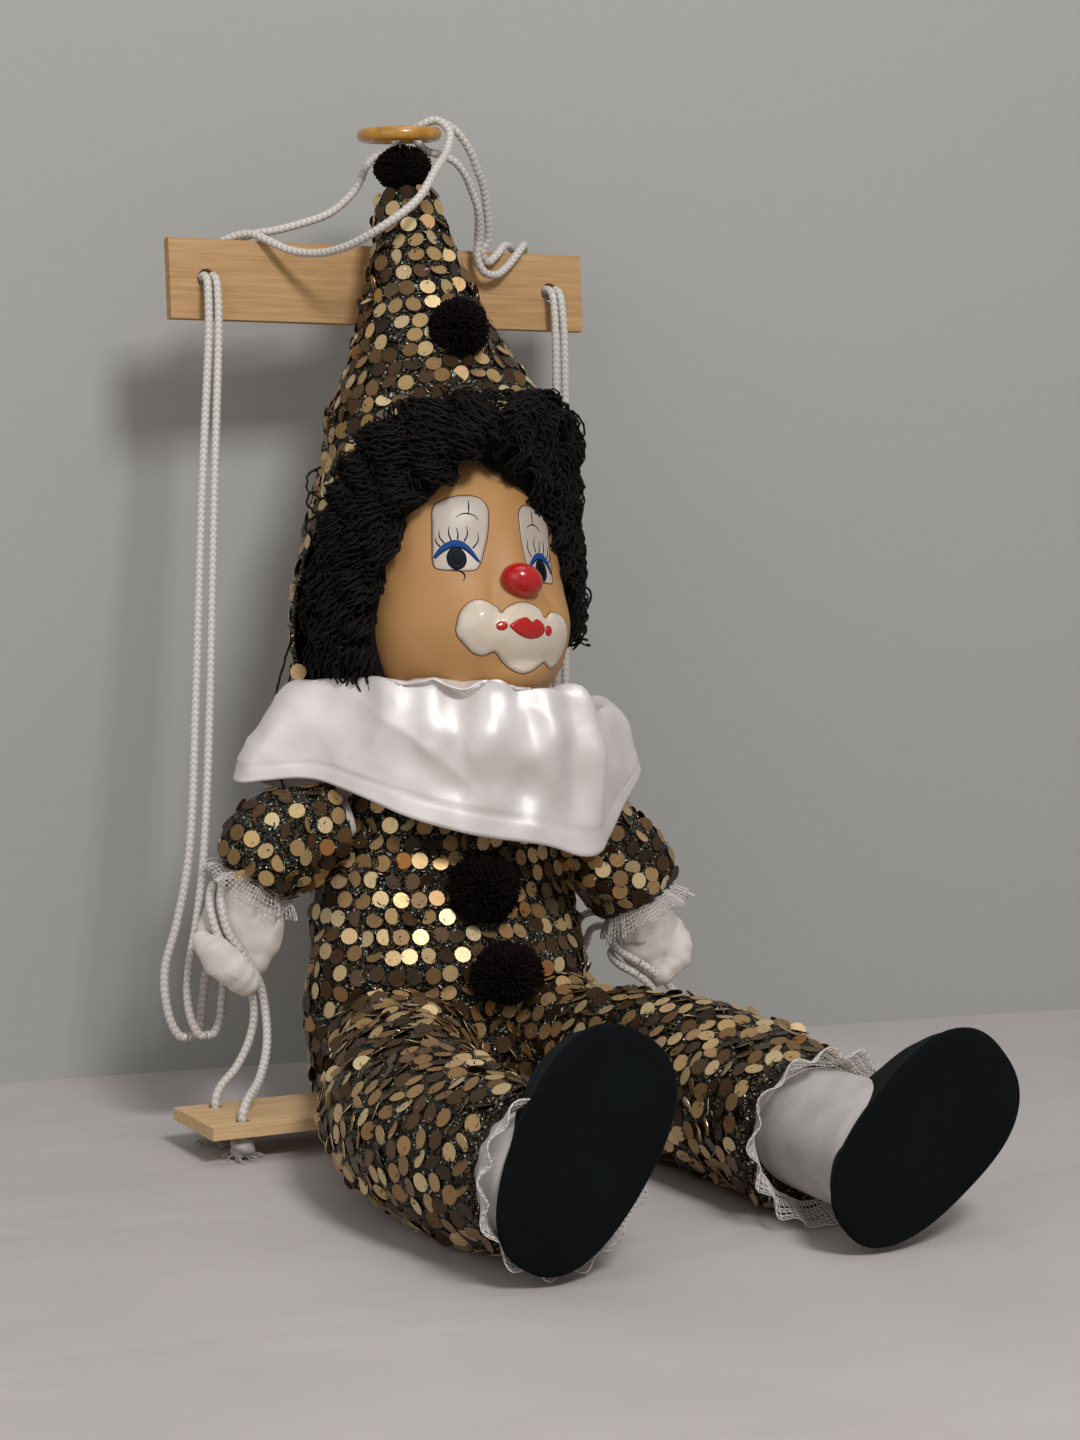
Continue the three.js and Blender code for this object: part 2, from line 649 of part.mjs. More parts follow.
function makeLeg(name, leg, trunk) {
  const shoeFrame = new THREE.Matrix4();
  const toe = new THREE.Vector3(Math.sin(leg.roll), 0, Math.cos(leg.roll));
  const inward = new THREE.Vector3(0, 1, 0);
  shoeFrame.makeBasis(new THREE.Vector3().crossVectors(toe, inward), toe, inward);
  shoeFrame.setPosition(...leg.sole);
  const sole = solidOf(
    loft([
      soleRing(0, SHOE_LENGTH - 2, SHOE_WIDTH - 2, 0),
      soleRing(1, SHOE_LENGTH, SHOE_WIDTH, 0),
      soleRing(SOLE_THICKNESS, SHOE_LENGTH, SHOE_WIDTH, 0),
    ]),
    shoeFrame,
  );
  const upper = solidOf(
    loft(between(SHOE_STATIONS, 6).map((s) => soleRing(s.z, s.long, s.wide, s.back))),
    shoeFrame,
  );
  const beyondUpper = box([-200, -300, -50], [200, leg.sole[1] + SHOE_DEPTH + GAP, 150]);
  const core = without(legShape(leg, 0), beyondUpper);
  const outside = trouserShape(leg, 0);
  const lining = limb(leg.trouser, TROUSER_RADII, {
    grow: -CLOTH,
    sides: 16,
    steps: 6,
    roundStart: false,
    roundEnd: false,
  });
  const trouser = without(outside, lining, legShape(leg, SOFT_GAP), trunk, seatSpace, floor);
  const lace = frill(leg.lace.centre, leg.lace.along, 18, 24.5, 5, 11);
  add("leg_" + name, without(core, floor), "body");
  add("trouser_" + name, trouser, "sequins");
  add("ankle_lace_" + name, without(lace, floor, trouserShape(leg, GAP)), "lace");
  add("shoe_" + name, without(upper, floor), "shoe");
  add("sole_" + name, without(sole, floor), "shoe");
}

// The collar: a square of satin with its hem at these places, gathered at the neck
const COLLAR_HEM = [
  [-70, -2, 118.5],
  [-50, -16, 120],
  [-28, -39, 109],
  [-8, -49.5, 102.5],
  [15, -56.5, 98.5],
  [36, -55, 93.5],
  [54, -40, 104],
  [72, -22, 121],
  [66, 6, 122],
  [46, 27, 112],
  [18, 34, 104],
  [-14, 36, 104],
  [-42, 28, 112],
  [-64, 14, 119],
];
const COLLAR_TOP = 138.5;
const COLLAR_NECK_RADIUS = CASING_RADIUS + SOFT_GAP;
const COLLAR_THICKNESS = 1.2;
const COLLAR_SIDES = 24;

const COLLAR_CREST_STEP = 0.4;

// Where the satin's fold stands highest, as a share of the way from the neck to the hem
function crestShare(reach) {
  return 0.94 - 0.0038 * reach;
}

// The height of that fold, most in front on the doll's right
function crestHeight(turn) {
  return 148 + 8 * Math.cos(turn - THREE.MathUtils.degToRad(215));
}

// A place on the satin: it rises from the neck to the fold round the chin and falls from there to the hem
function collarPlace(edge, step) {
  const turn = Math.atan2(edge.y - NECK.y, edge.x - NECK.x);
  const reach = Math.hypot(edge.y - NECK.y, edge.x - NECK.x);
  const y = COLLAR_NECK_RADIUS * Math.sin(turn);
  const neck = new THREE.Vector3(
    NECK.x + COLLAR_NECK_RADIUS * Math.cos(turn),
    NECK.y + y,
    COLLAR_TOP - y * Math.tan(HEAD_LEAN),
  );
  const crest = crestShare(reach);
  const rise = Math.min(step / COLLAR_CREST_STEP, 1);
  const fall = Math.max((step - COLLAR_CREST_STEP) / (1 - COLLAR_CREST_STEP), 0);
  const spot = neck.clone().lerp(edge, crest * rise + (1 - crest) * fall ** 0.7);
  const top = neck.z + (crestHeight(turn) - neck.z) * THREE.MathUtils.smoothstep(rise, 0, 1);
  spot.z = top - (top - edge.z) * fall ** 1.3 + 0.8 * Math.sin(9 * turn) * step;
  return spot;
}

// The same place moved to the inside of the cloth
function collarInside(edge, step, thickness) {
  const before = collarPlace(edge, Math.max(step - 0.04, 0));
  const after = collarPlace(edge, Math.min(step + 0.04, 1));
  const along = after.sub(before).normalize();
  const outward = new THREE.Vector3(along.x, along.y, 0).normalize();
  const flat = Math.hypot(along.x, along.y);
  const normal = outward.multiplyScalar(-along.z).setZ(flat);
  return collarPlace(edge, step).sub(normal.multiplyScalar(thickness));
}

function collarShape(above, below, place) {
  const hem = new THREE.CatmullRomCurve3(
    COLLAR_HEM.map((p) => new THREE.Vector3(...p)),
    true,
    "centripetal",
  );
  const edges = Array.from({ length: COLLAR_SIDES }, (_, i) => hem.getPoint(i / COLLAR_SIDES));
  const lifted = (spot, lift) => spot.setZ(spot.z + lift);
  const steps = [0, 0.2, COLLAR_CREST_STEP, 0.55, 0.76, 1];
  const top = steps.map((step) => edges.map((edge) => lifted(collarPlace(edge, step), above)));
  const under = steps.map((step) => edges.map((edge) => lifted(collarInside(edge, step, COLLAR_THICKNESS), -below)));
  return tubeOf([...top, ...under.reverse()], place);
}
const collarSpace = collarShape(15, SOFT_GAP);

// Wooden parts
function makeSeat() {
  const bottom = KNOT_HEIGHT + GAP;
  const plank = box(
    [-SEAT_LENGTH / 2, SEAT_CENTRE_Y - SEAT_WIDTH / 2, bottom],
    [SEAT_LENGTH / 2, SEAT_CENTRE_Y + SEAT_WIDTH / 2, bottom + PLY],
  );
  const holes = [-1, 1].flatMap((side) =>
    [-1, 1].map((row) => {
      const hole = new THREE.CylinderGeometry(SEAT_HOLE_RADIUS, SEAT_HOLE_RADIUS, 3 * PLY, 12);
      hole.rotateX(Math.PI / 2);
      const y = SEAT_CENTRE_Y + (row * SEAT_HOLE_SPACING) / 2;
      return solidOf(hole.translate(side * SEAT_HOLE_X, y, bottom + PLY / 2));
    }),
  );
  add("seat_plank", without(plank, ...holes), "plywood");
  for (const [side, hand] of [[-1, "right"], [1, "left"]])
    for (const [row, place] of [[-1, "front"], [1, "back"]]) {
      const knot = lathe(
        [
          [0, 0],
          [KNOT_RADIUS - 1.4, 0],
          [KNOT_RADIUS, 2.6],
          [KNOT_RADIUS - 0.4, 5.4],
          [KNOT_RADIUS - 2, KNOT_HEIGHT],
          [0, KNOT_HEIGHT],
        ],
        10,
      );
      const y = SEAT_CENTRE_Y + (row * SEAT_HOLE_SPACING) / 2;
      const placed = knot.translate([side * SEAT_HOLE_X, y, 0]);
      add("seat_knot_" + hand + "_" + place, placed, "cord");
    }
}

function makeHanger() {
  const bar = new THREE.Group();
  bar.position.copy(BAR_CENTRE);
  bar.rotation.x = -BAR_LEAN;
  doll.add(bar);
  const board = box(
    [-BAR_LENGTH / 2, -PLY / 2, -BAR_HEIGHT / 2],
    [BAR_LENGTH / 2, PLY / 2, BAR_HEIGHT / 2],
  );
  const holes = [-1, 1].map((side) => {
    const hole = new THREE.CylinderGeometry(BAR_HOLE_RADIUS, BAR_HOLE_RADIUS, 3 * PLY, 16);
    return solidOf(hole.translate((side * BAR_HOLE_SPACING) / 2, 0, 0));
  });
  add("spreader_bar", without(board, ...holes), "plywood", bar);
  const ring = new THREE.TorusGeometry(RING_RADIUS, RING_SECTION, 8, 24);
  const hoop = add("hanging_ring", ring, "ring");
  hoop.position.copy(RING_CENTRE);
  hoop.rotation.set(RING_TILT_BACK, RING_TILT_SIDE, 0);
}

// Cords, as chosen points in the doll's frame. Each side's cord is doubled: from a knot under the seat it goes
// up through the fist and over it, down round a slack loop, up to a hole in the bar, behind the bar, over its
// top edge, through the ring and back the same way.
const CORDS = {
  ring_cord_right: [
    [-67.6, 40.8, 290.46], [-67.6, 44.5, 289.5], [-67.2, 47.3, 291.5], [-65.5, 48.6, 296], [-60, 49, 301.5],
    [-54, 47, 305.8], [-48.3, 42, 307.2], [-45.4, 38, 305.6], [-38.2, 30, 301], [-31.2, 20, 299.5],
    [-25.2, 8, 301.5], [-17, -3, 307.8], [-5.8, -5, 316.6], [3.9, 0, 328.1], [12.1, 8, 336], [15, 12, 343],
    [12.2, 16.6, 347.3], [7, 20.5, 345.2], [3.5, 27, 341.5], [2.5, 37.5, 337.3], [-1.5, 38.5, 336.2],
    [-5, 38.5, 332.5], [-7.2, 39, 327.4], [-9.9, 40, 322.8], [-18.1, 41, 315.8], [-29.2, 42, 311.5],
    [-38.4, 43.5, 308.9], [-45.5, 46.8, 307.5], [-51, 51.5, 304.6], [-57.5, 52.8, 299.5], [-62.3, 51.8, 294.5],
    [-64.4, 47.8, 289.6], [-64.4, 44.5, 289.5], [-64.4, 40.8, 290.46],
  ],
  ring_cord_left: [
    [70.6, 40.8, 290.46], [70.6, 44.5, 289.5], [70.2, 47.3, 291.5], [68, 48.6, 296.5], [63.5, 49, 301.5],
    [58.5, 47.2, 305.8], [55, 43.5, 307.3], [50.5, 39.4, 306.9], [46, 36.4, 303.3], [42, 35.5, 300.5],
    [39.3, 34.5, 303.5], [40.8, 33, 308.2], [37.5, 28, 320.1], [34.7, 25, 326.4], [30.8, 22, 331.9],
    [27.1, 20, 337.8], [21, 19.5, 344.6], [14, 21.6, 347.9], [8.8, 24.5, 345], [8.6, 25, 341],
    [12.2, 24.4, 337.4], [17, 22.8, 336.2], [22, 21.5, 333.8], [26.1, 22, 329.6], [29.8, 24, 324.3],
    [33.2, 26, 318], [36, 31.5, 308], [36.2, 32.5, 301.5], [38.8, 32.3, 296.6], [44, 33.3, 295.8],
    [50, 35.6, 299.3], [56, 37.6, 305.2], [60.5, 42.6, 308], [63.8, 48.5, 306], [66.5, 52.5, 300.5],
    [68, 52.2, 294.5], [67.6, 48.3, 289.8], [67.4, 44.5, 289.5], [67.4, 40.8, 290.46],
  ],
  right_cord_a_upper: [
    [-67.6, 40.4, 290.54], [-67.6, 36.7, 291.5], [-67.7, 33.4, 289.5], [-68, 31.8, 284], [-68.4, 30.6, 274],
    [-75, 22, 213], [-82, 11, 147], [-88, 3, 95], [-92.5, 3.2, 72], [-96.5, 4.5, 56], [-96.5, 4, 46],
    [-94.6, 3.4, 37.5], [-91.6, 2.9, 32.9], [-89.5, 2.6, 32.6],
  ],
  right_cord_b_upper: [
    [-64.4, 40.4, 290.54], [-64.4, 36.7, 291.5], [-64.4, 33.4, 289.5], [-64.5, 31.8, 284], [-65, 30.2, 274],
    [-71, 20.5, 213], [-77.5, 9.5, 147], [-83.5, 1, 95], [-87, -0.5, 72], [-90, -0.8, 56], [-90.6, -1.2, 46],
    [-89.2, -1.6, 38.5], [-86.5, -1.8, 33.8], [-84.5, -2, 33.5],
  ],
  right_cord_a_loop: [
    [-89.15, 2.55, 32.6], [-87.1, 2.4, 32.9], [-84.9, 2.2, 36.5], [-84, 2.2, 43], [-82, 3.4, 54], [-78, 5.3, 64.5],
    [-79, 4.6, 75], [-81.4, -1.7, 84.4], [-86, -10.6, 78.8], [-85.1, -14.5, 70.5], [-81.3, -15.8, 63],
  ],
  right_cord_b_loop: [
    [-84.15, -2.05, 33.5], [-82.1, -2.3, 33.8], [-79.6, -2.4, 38], [-78.5, -2, 45], [-76, 1.4, 54.5], [-72.9, 4.6, 63.5],
    [-74.4, 4.4, 74.5], [-78, -3.2, 86], [-83.3, -13.9, 80.5], [-82.4, -17.1, 71.5], [-78.2, -18.2, 64],
  ],
  right_cord_a_lower: [
    [-81, -15.85, 62.7], [-76.6, -16.6, 57], [-73.6, -15.4, 51.5], [-71.8, -14, 42], [-73.5, -13.8, 33],
    [-79, -15, 24], [-85, -16.9, 19], [-87.3, -17.9, 15], [-87.5, -18, 11.5], [-87.5, -18, 8.1],
  ],
  right_cord_b_lower: [
    [-77.9, -18.2, 63.7], [-73.8, -18.6, 57.5], [-71, -17.8, 52], [-69.2, -18, 42], [-71, -23, 32],
    [-77.5, -32, 23], [-85, -39.8, 18], [-87.3, -41.8, 14.5], [-87.5, -42, 11.5], [-87.5, -42, 8.1],
  ],
  left_cord_a_upper: [
    [70.6, 40.4, 290.54], [70.6, 36.7, 291.5], [70.6, 33.4, 289.5], [70.7, 31.8, 284], [70.9, 30.6, 274],
    [71, 29.5, 200], [70.8, 29.5, 120], [70.8, 29.5, 72], [71, 29, 58], [71.5, 27.2, 50], [71.9, 24.6, 46.6], [72, 22.6, 46.3],
  ],
  left_cord_b_upper: [
    [67.4, 40.4, 290.54], [67.4, 36.7, 291.5], [67.4, 33.4, 289.5], [67.4, 31.8, 284], [67.3, 30.6, 274],
    [67, 29.5, 200], [66.8, 29.5, 120], [66.8, 29.5, 76], [66.9, 29, 64], [67.2, 27.2, 56.5], [67.5, 24.6, 53.1], [67.6, 22.6, 52.8],
  ],
  left_cord_a_loop: [
    [72.05, 22.25, 46.3], [72.2, 20.2, 46.6], [72.8, 17, 50.5], [73.2, 14, 56], [74.3, 6, 58.5], [74.3, -5.3, 54.5],
    [66.9, -12.4, 51.5], [66.2, -20.6, 48.4], [68.5, -24.5, 46.7], [70.3, -25.6, 45.4],
  ],
  left_cord_b_loop: [
    [67.65, 22.25, 52.8], [67.9, 20.2, 53.1], [68.4, 17, 56.8], [69, 13, 61.5], [71.5, 5, 64], [73.4, -5.3, 59.5],
    [67.2, -12.5, 56], [66.3, -20.8, 53.2], [68.4, -25.5, 51.4], [70.3, -26.9, 50.1],
  ],
  left_cord_a_lower: [
    [70.6, -25.8, 45.1], [72.5, -26.7, 43.6], [75.6, -26.8, 40.4], [78.8, -25.4, 36], [83, -22.5, 28], [86.6, -19, 19.5],
    [87.4, -18.1, 15], [87.5, -18, 11.5], [87.5, -18, 8.1],
  ],
  left_cord_b_lower: [
    [70.6, -27.1, 49.85], [72.8, -28.2, 48.3], [77, -29, 45], [84, -28.5, 38.5], [88.3, -31.5, 29], [88.2, -38.8, 20],
    [87.6, -41.8, 15], [87.5, -42, 11.5], [87.5, -42, 8.1],
  ],
};

function makePompoms(trunk, trousers) {
  const round = Array(3).fill(CHEST_POMPOM_RADIUS);
  const upper = ellipsoid([1, -41.5, 83], round);
  const lower = ellipsoid([2.6, -56, 54.5], round);
  add("chest_pompom_upper", upper.subtract(trunk), "pompom");
  add("chest_pompom_lower", without(lower, trunk, ...trousers), "pompom");
}

function makeCords() {
  const tubes = Object.entries(CORDS).map(([name, points]) => {
    add(name, cordShape(points), "cord");
    return points;
  });
  return tubes.map((points) => cordShape(points, GAP));
}

const trunkSpace = trunkShape(SOFT_GAP);
const trouserSpaces = Object.values(LEGS).map((leg) => trouserShape(leg, SOFT_GAP));
makeHead();
makeHat();
makeWig();
makeTrunk();
add("collar", collarShape(0, 0), "satin");
makePompoms(trunkSpace, trouserSpaces);
const cordSpaces = makeCords();
for (const [name, arm] of Object.entries(ARMS)) makeArm(name, arm, trunkSpace, cordSpaces);
for (const [name, leg] of Object.entries(LEGS)) makeLeg(name, leg, trunkSpace);
makeSeat();
makeHanger();

export default doll;
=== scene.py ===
import bpy, bmesh, json, math, random
import numpy as np
from mathutils import Matrix, Vector, noise
from mathutils.bvhtree import BVHTree

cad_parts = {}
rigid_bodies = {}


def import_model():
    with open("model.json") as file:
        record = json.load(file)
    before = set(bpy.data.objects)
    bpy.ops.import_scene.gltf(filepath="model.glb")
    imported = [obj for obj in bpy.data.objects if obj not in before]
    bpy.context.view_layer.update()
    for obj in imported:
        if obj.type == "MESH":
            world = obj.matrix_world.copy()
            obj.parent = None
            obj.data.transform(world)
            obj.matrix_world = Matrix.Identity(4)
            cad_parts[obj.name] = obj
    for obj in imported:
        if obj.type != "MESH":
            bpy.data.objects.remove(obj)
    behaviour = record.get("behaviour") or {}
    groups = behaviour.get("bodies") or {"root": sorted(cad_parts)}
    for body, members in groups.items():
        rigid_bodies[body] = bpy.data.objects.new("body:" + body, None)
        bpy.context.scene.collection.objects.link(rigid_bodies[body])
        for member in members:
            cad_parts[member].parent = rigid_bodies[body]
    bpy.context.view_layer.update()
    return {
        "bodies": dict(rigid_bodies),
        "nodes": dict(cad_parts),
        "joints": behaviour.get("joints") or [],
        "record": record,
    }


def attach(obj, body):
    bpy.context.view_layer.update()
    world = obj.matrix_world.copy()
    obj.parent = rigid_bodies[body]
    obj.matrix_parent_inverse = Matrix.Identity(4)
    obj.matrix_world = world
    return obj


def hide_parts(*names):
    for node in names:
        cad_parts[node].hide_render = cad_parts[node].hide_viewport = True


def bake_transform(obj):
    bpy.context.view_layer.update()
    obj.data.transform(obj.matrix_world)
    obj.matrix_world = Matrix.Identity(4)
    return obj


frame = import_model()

mm = 0.001
pi = math.pi


# ---------- small helpers ----------
def at(x, y, z):
    return Vector((x, y, z)) * mm


def linear(hexCode):
    values = [int(hexCode[i:i + 2], 16) / 255 for i in (0, 2, 4)]
    return [c / 12.92 if c <= 0.04045 else ((c + 0.055) / 1.055) ** 2.4 for c in values] + [1.0]


def smooth(a, b, x):
    t = min(1.0, max(0.0, (x - a) / (b - a)))
    return t * t * (3 - 2 * t)


def splinePoint(p, t):
    # uniform Catmull-Rom through rows of numbers, t from 0 to 1
    n = len(p) - 1
    x = min(max(t, 0.0), 1.0) * n
    i = min(int(x), n - 1)
    f = x - i
    p1, p2 = np.array(p[i], float), np.array(p[i + 1], float)
    p0 = np.array(p[i - 1], float) if i > 0 else 2 * p1 - p2
    p3 = np.array(p[i + 2], float) if i + 2 <= n else 2 * p2 - p1
    return 0.5 * (2 * p1 + (p2 - p0) * f + (2 * p0 - 5 * p1 + 4 * p2 - p3) * f * f
                  + (3 * p1 - p0 - 3 * p2 + p3) * f ** 3)


def evenly(points, step):
    # points on a centripetal Catmull-Rom curve, a fixed step apart
    p = [Vector(q) for q in points]
    p = [2 * p[0] - p[1]] + p + [2 * p[-1] - p[-2]]
    dense = [p[1].copy()]
    for i in range(1, len(p) - 2):
        a, b, c, d = p[i - 1], p[i], p[i + 1], p[i + 2]
        t1 = max((b - a).length, 1e-9) ** 0.5
        t2 = t1 + max((c - b).length, 1e-9) ** 0.5
        t3 = t2 + max((d - c).length, 1e-9) ** 0.5
        for k in range(1, 25):
            t = t1 + (t2 - t1) * k / 24
            a1 = a * ((t1 - t) / t1) + b * (t / t1)
            a2 = b * ((t2 - t) / (t2 - t1)) + c * ((t - t1) / (t2 - t1))
            a3 = c * ((t3 - t) / (t3 - t2)) + d * ((t - t2) / (t3 - t2))
            b1 = a1 * ((t2 - t) / t2) + a2 * (t / t2)
            b2 = a2 * ((t3 - t) / (t3 - t1)) + a3 * ((t - t1) / (t3 - t1))
            dense.append(b1 * ((t2 - t) / (t2 - t1)) + b2 * ((t - t1) / (t2 - t1)))
    run = [0.0]
    for a, b in zip(dense, dense[1:]):
        run.append(run[-1] + (b - a).length)
    count = max(2, round(run[-1] / step))
    out, j = [], 0
    for i in range(count + 1):
        s = run[-1] * i / count
        while j < len(run) - 2 and run[j + 1] < s:
            j += 1
        f = (s - run[j]) / max(run[j + 1] - run[j], 1e-12)
        out.append(dense[j].lerp(dense[j + 1], min(1, f)))
    return out, run[-1]


def lift(offset, scale, seed, detail=2):
    return noise.fractal(offset * scale + Vector((seed, seed * 2, 0)), 1.0, 2.0, detail)


def newObject(name, mesh, material, body, *nodes, shade=True):
    piece = bpy.data.objects.new(name, mesh)
    bpy.context.scene.collection.objects.link(piece)
    mesh.materials.clear()
    mesh.materials.append(material)
    if shade:
        mesh.polygons.foreach_set("use_smooth", [True] * len(mesh.polygons))
    if body:
        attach(piece, body)
    if nodes:
        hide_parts(*nodes)
    return piece


def meshOf(bm, name):
    mesh = bpy.data.meshes.new(name)
    bm.to_mesh(mesh)
    bm.free()
    return mesh


def applied(piece):
    # bakes a piece's modifiers into its mesh
    graph = bpy.context.evaluated_depsgraph_get()
    mesh = bpy.data.meshes.new_from_object(piece.evaluated_get(graph))
    old = piece.data
    piece.modifiers.clear()
    piece.data = mesh
    bpy.data.meshes.remove(old)
    return piece


def pullThrough(name, rings, closeEnds=True, uvLength=1.0):
    # a circle of edges pulled through rings of places, which leaves a skin behind it
    count = len(rings[0])
    bm = bmesh.new()
    start = bmesh.ops.create_circle(bm, segments=count, radius=1.0)["verts"]
    current = sorted(start, key=lambda q: math.atan2(q.co.y, q.co.x) % (2 * pi))
    layer = bm.loops.layers.uv.new("UVMap")
    for q, place in zip(current, rings[0]):
        q.co = place
    firstRing = list(current)
    grid = [current]
    for ring in rings[1:]:
        edges = [bm.edges.get((current[i], current[(i + 1) % count])) for i in range(count)]
        marks = {q: k for k, q in enumerate(current)}
        for k, q in enumerate(current):
            q.index = k
        made = bmesh.ops.extrude_edge_only(bm, edges=edges)["geom"]
        fresh = [g for g in made if isinstance(g, bmesh.types.BMVert)]
        following = [None] * count
        for q in fresh:
            for e in q.link_edges:
                other = e.other_vert(q)
                if other in marks:
                    following[marks[other]] = q
        for q, place in zip(following, ring):
            q.co = place
        current = following
        grid.append(current)
    spot = {q: (i, j) for j, row in enumerate(grid) for i, q in enumerate(row)}
    rows = len(grid) - 1
    for face in bm.faces:
        cells = [spot[c.vert] for c in face.loops]
        wraps = max(c[0] for c in cells) - min(c[0] for c in cells) > 1
        for loop, (i, j) in zip(face.loops, cells):
            around = count if wraps and i == 0 else i
            loop[layer].uv = (around / count, j / rows * uvLength)
    if closeEnds:
        for ring in (firstRing, current):
            edges = [bm.edges.get((ring[i], ring[(i + 1) % count])) for i in range(count)]
            bmesh.ops.holes_fill(bm, edges=edges, sides=count)
            caps = [f for f in bm.faces if len(f.verts) == count]
            bmesh.ops.poke(bm, faces=caps)
    bmesh.ops.recalc_face_normals(bm, faces=bm.faces)
    return meshOf(bm, name)


def oval(z, wide, front, back, x, y, count, ripple=None):
    ring = []
    for i in range(count):
        turn = 2 * pi * i / count
        deep = front if math.sin(turn) < 0 else back
        extra = ripple(turn, z) if ripple else 0
        ring.append(at(x + (wide + extra) * math.cos(turn), y + (deep + extra) * math.sin(turn), z))
    return ring


def limbRings(line, radii, count, steps, ripple=None, start=0.0, end=1.0):
    rings = []
    for k in range(steps + 1):
        t = start + (end - start) * k / steps
        centre = Vector(splinePoint(line, t))
        along = Vector(splinePoint(line, t + 0.01) - splinePoint(line, t - 0.01)).normalized()
        if t >= 0.999:
            along = Vector(splinePoint(line, 1) - splinePoint(line, 0.98)).normalized()
        if t <= 0.001:
            along = Vector(splinePoint(line, 0.02) - splinePoint(line, 0)).normalized()
        side = Vector((0, 0, 1)).cross(along).normalized()
        rise = along.cross(side)
        radius = float(splinePoint([[r] for r in radii], t)[0])
        ring = []
        for i in range(count):
            turn = 2 * pi * i / count
            r = radius + (ripple(turn, t) if ripple else 0)
            ring.append((centre + side * r * math.cos(turn) + rise * r * math.sin(turn)) * mm)
        rings.append(ring)
    return rings


def copies(name, shape, places, material, body, *nodes, marks=None):
    # one shape set down at many places, as one piece, with a UV mark for each copy
    own = np.array([q.co[:] for q in shape.vertices])
    faces = [list(f.vertices) for f in shape.polygons]
    n = len(own)
    spots = np.array([[list(row) for row in m] for m in places])
    points = np.einsum("kij,nj->kni", spots[:, :3, :3], own) + spots[:, None, :3, 3]
    mesh = bpy.data.meshes.new(name)
    everyFace = [[v + k * n for v in f] for k in range(len(places)) for f in faces]
    mesh.from_pydata(points.reshape(-1, 3).tolist(), [], everyFace)
    if marks is not None:
        layer = mesh.uv_layers.new(name="UVMap")
        loops = sum(len(f) for f in faces)
        layer.data.foreach_set("uv", np.repeat(np.array(marks), loops, axis=0).ravel())
    mesh.update()
    return newObject(name, mesh, material, body, *nodes)


def addNode(tree, kind, settings=None, **links):
    made = tree.nodes.new("ShaderNode" + kind)
    for key, value in (settings or {}).items():
        if isinstance(key, str) and hasattr(made, key):
            setattr(made, key, value)
        else:
            made.inputs[key].default_value = value
    for key, socket in links.items():
        tree.links.new(socket, made.inputs[int(key[1:]) if key[1:].isdigit() else key.replace("_", " ")])
    return made


def newMaterial(name, colour, roughness, metallic=0.0, **more):
    material = bpy.data.materials.new(name)
    material.use_nodes = True
    shader = material.node_tree.nodes["Principled BSDF"]
    shader.inputs["Base Color"].default_value = linear(colour)
    shader.inputs["Roughness"].default_value = roughness
    shader.inputs["Metallic"].default_value = metallic
    for key, value in more.items():
        shader.inputs[key.replace("_", " ")].default_value = value
    return material, material.node_tree, shader


def ramp(tree, factor, *stops):
    made = addNode(tree, "ValToRGB", None, Fac=factor)
    band = made.color_ramp
    band.elements[0].position, band.elements[0].color = stops[0][0], linear(stops[0][1])
    band.elements[1].position, band.elements[1].color = stops[-1][0], linear(stops[-1][1])
    for place, code in stops[1:-1]:
        band.elements.new(place).color = linear(code)
    return made.outputs["Color"]


def bump(tree, shader, height, strength, distance):
    made = addNode(tree, "Bump", {"Strength": strength, "Distance": distance}, Height=height)
    tree.links.new(made.outputs["Normal"], shader.inputs["Normal"])


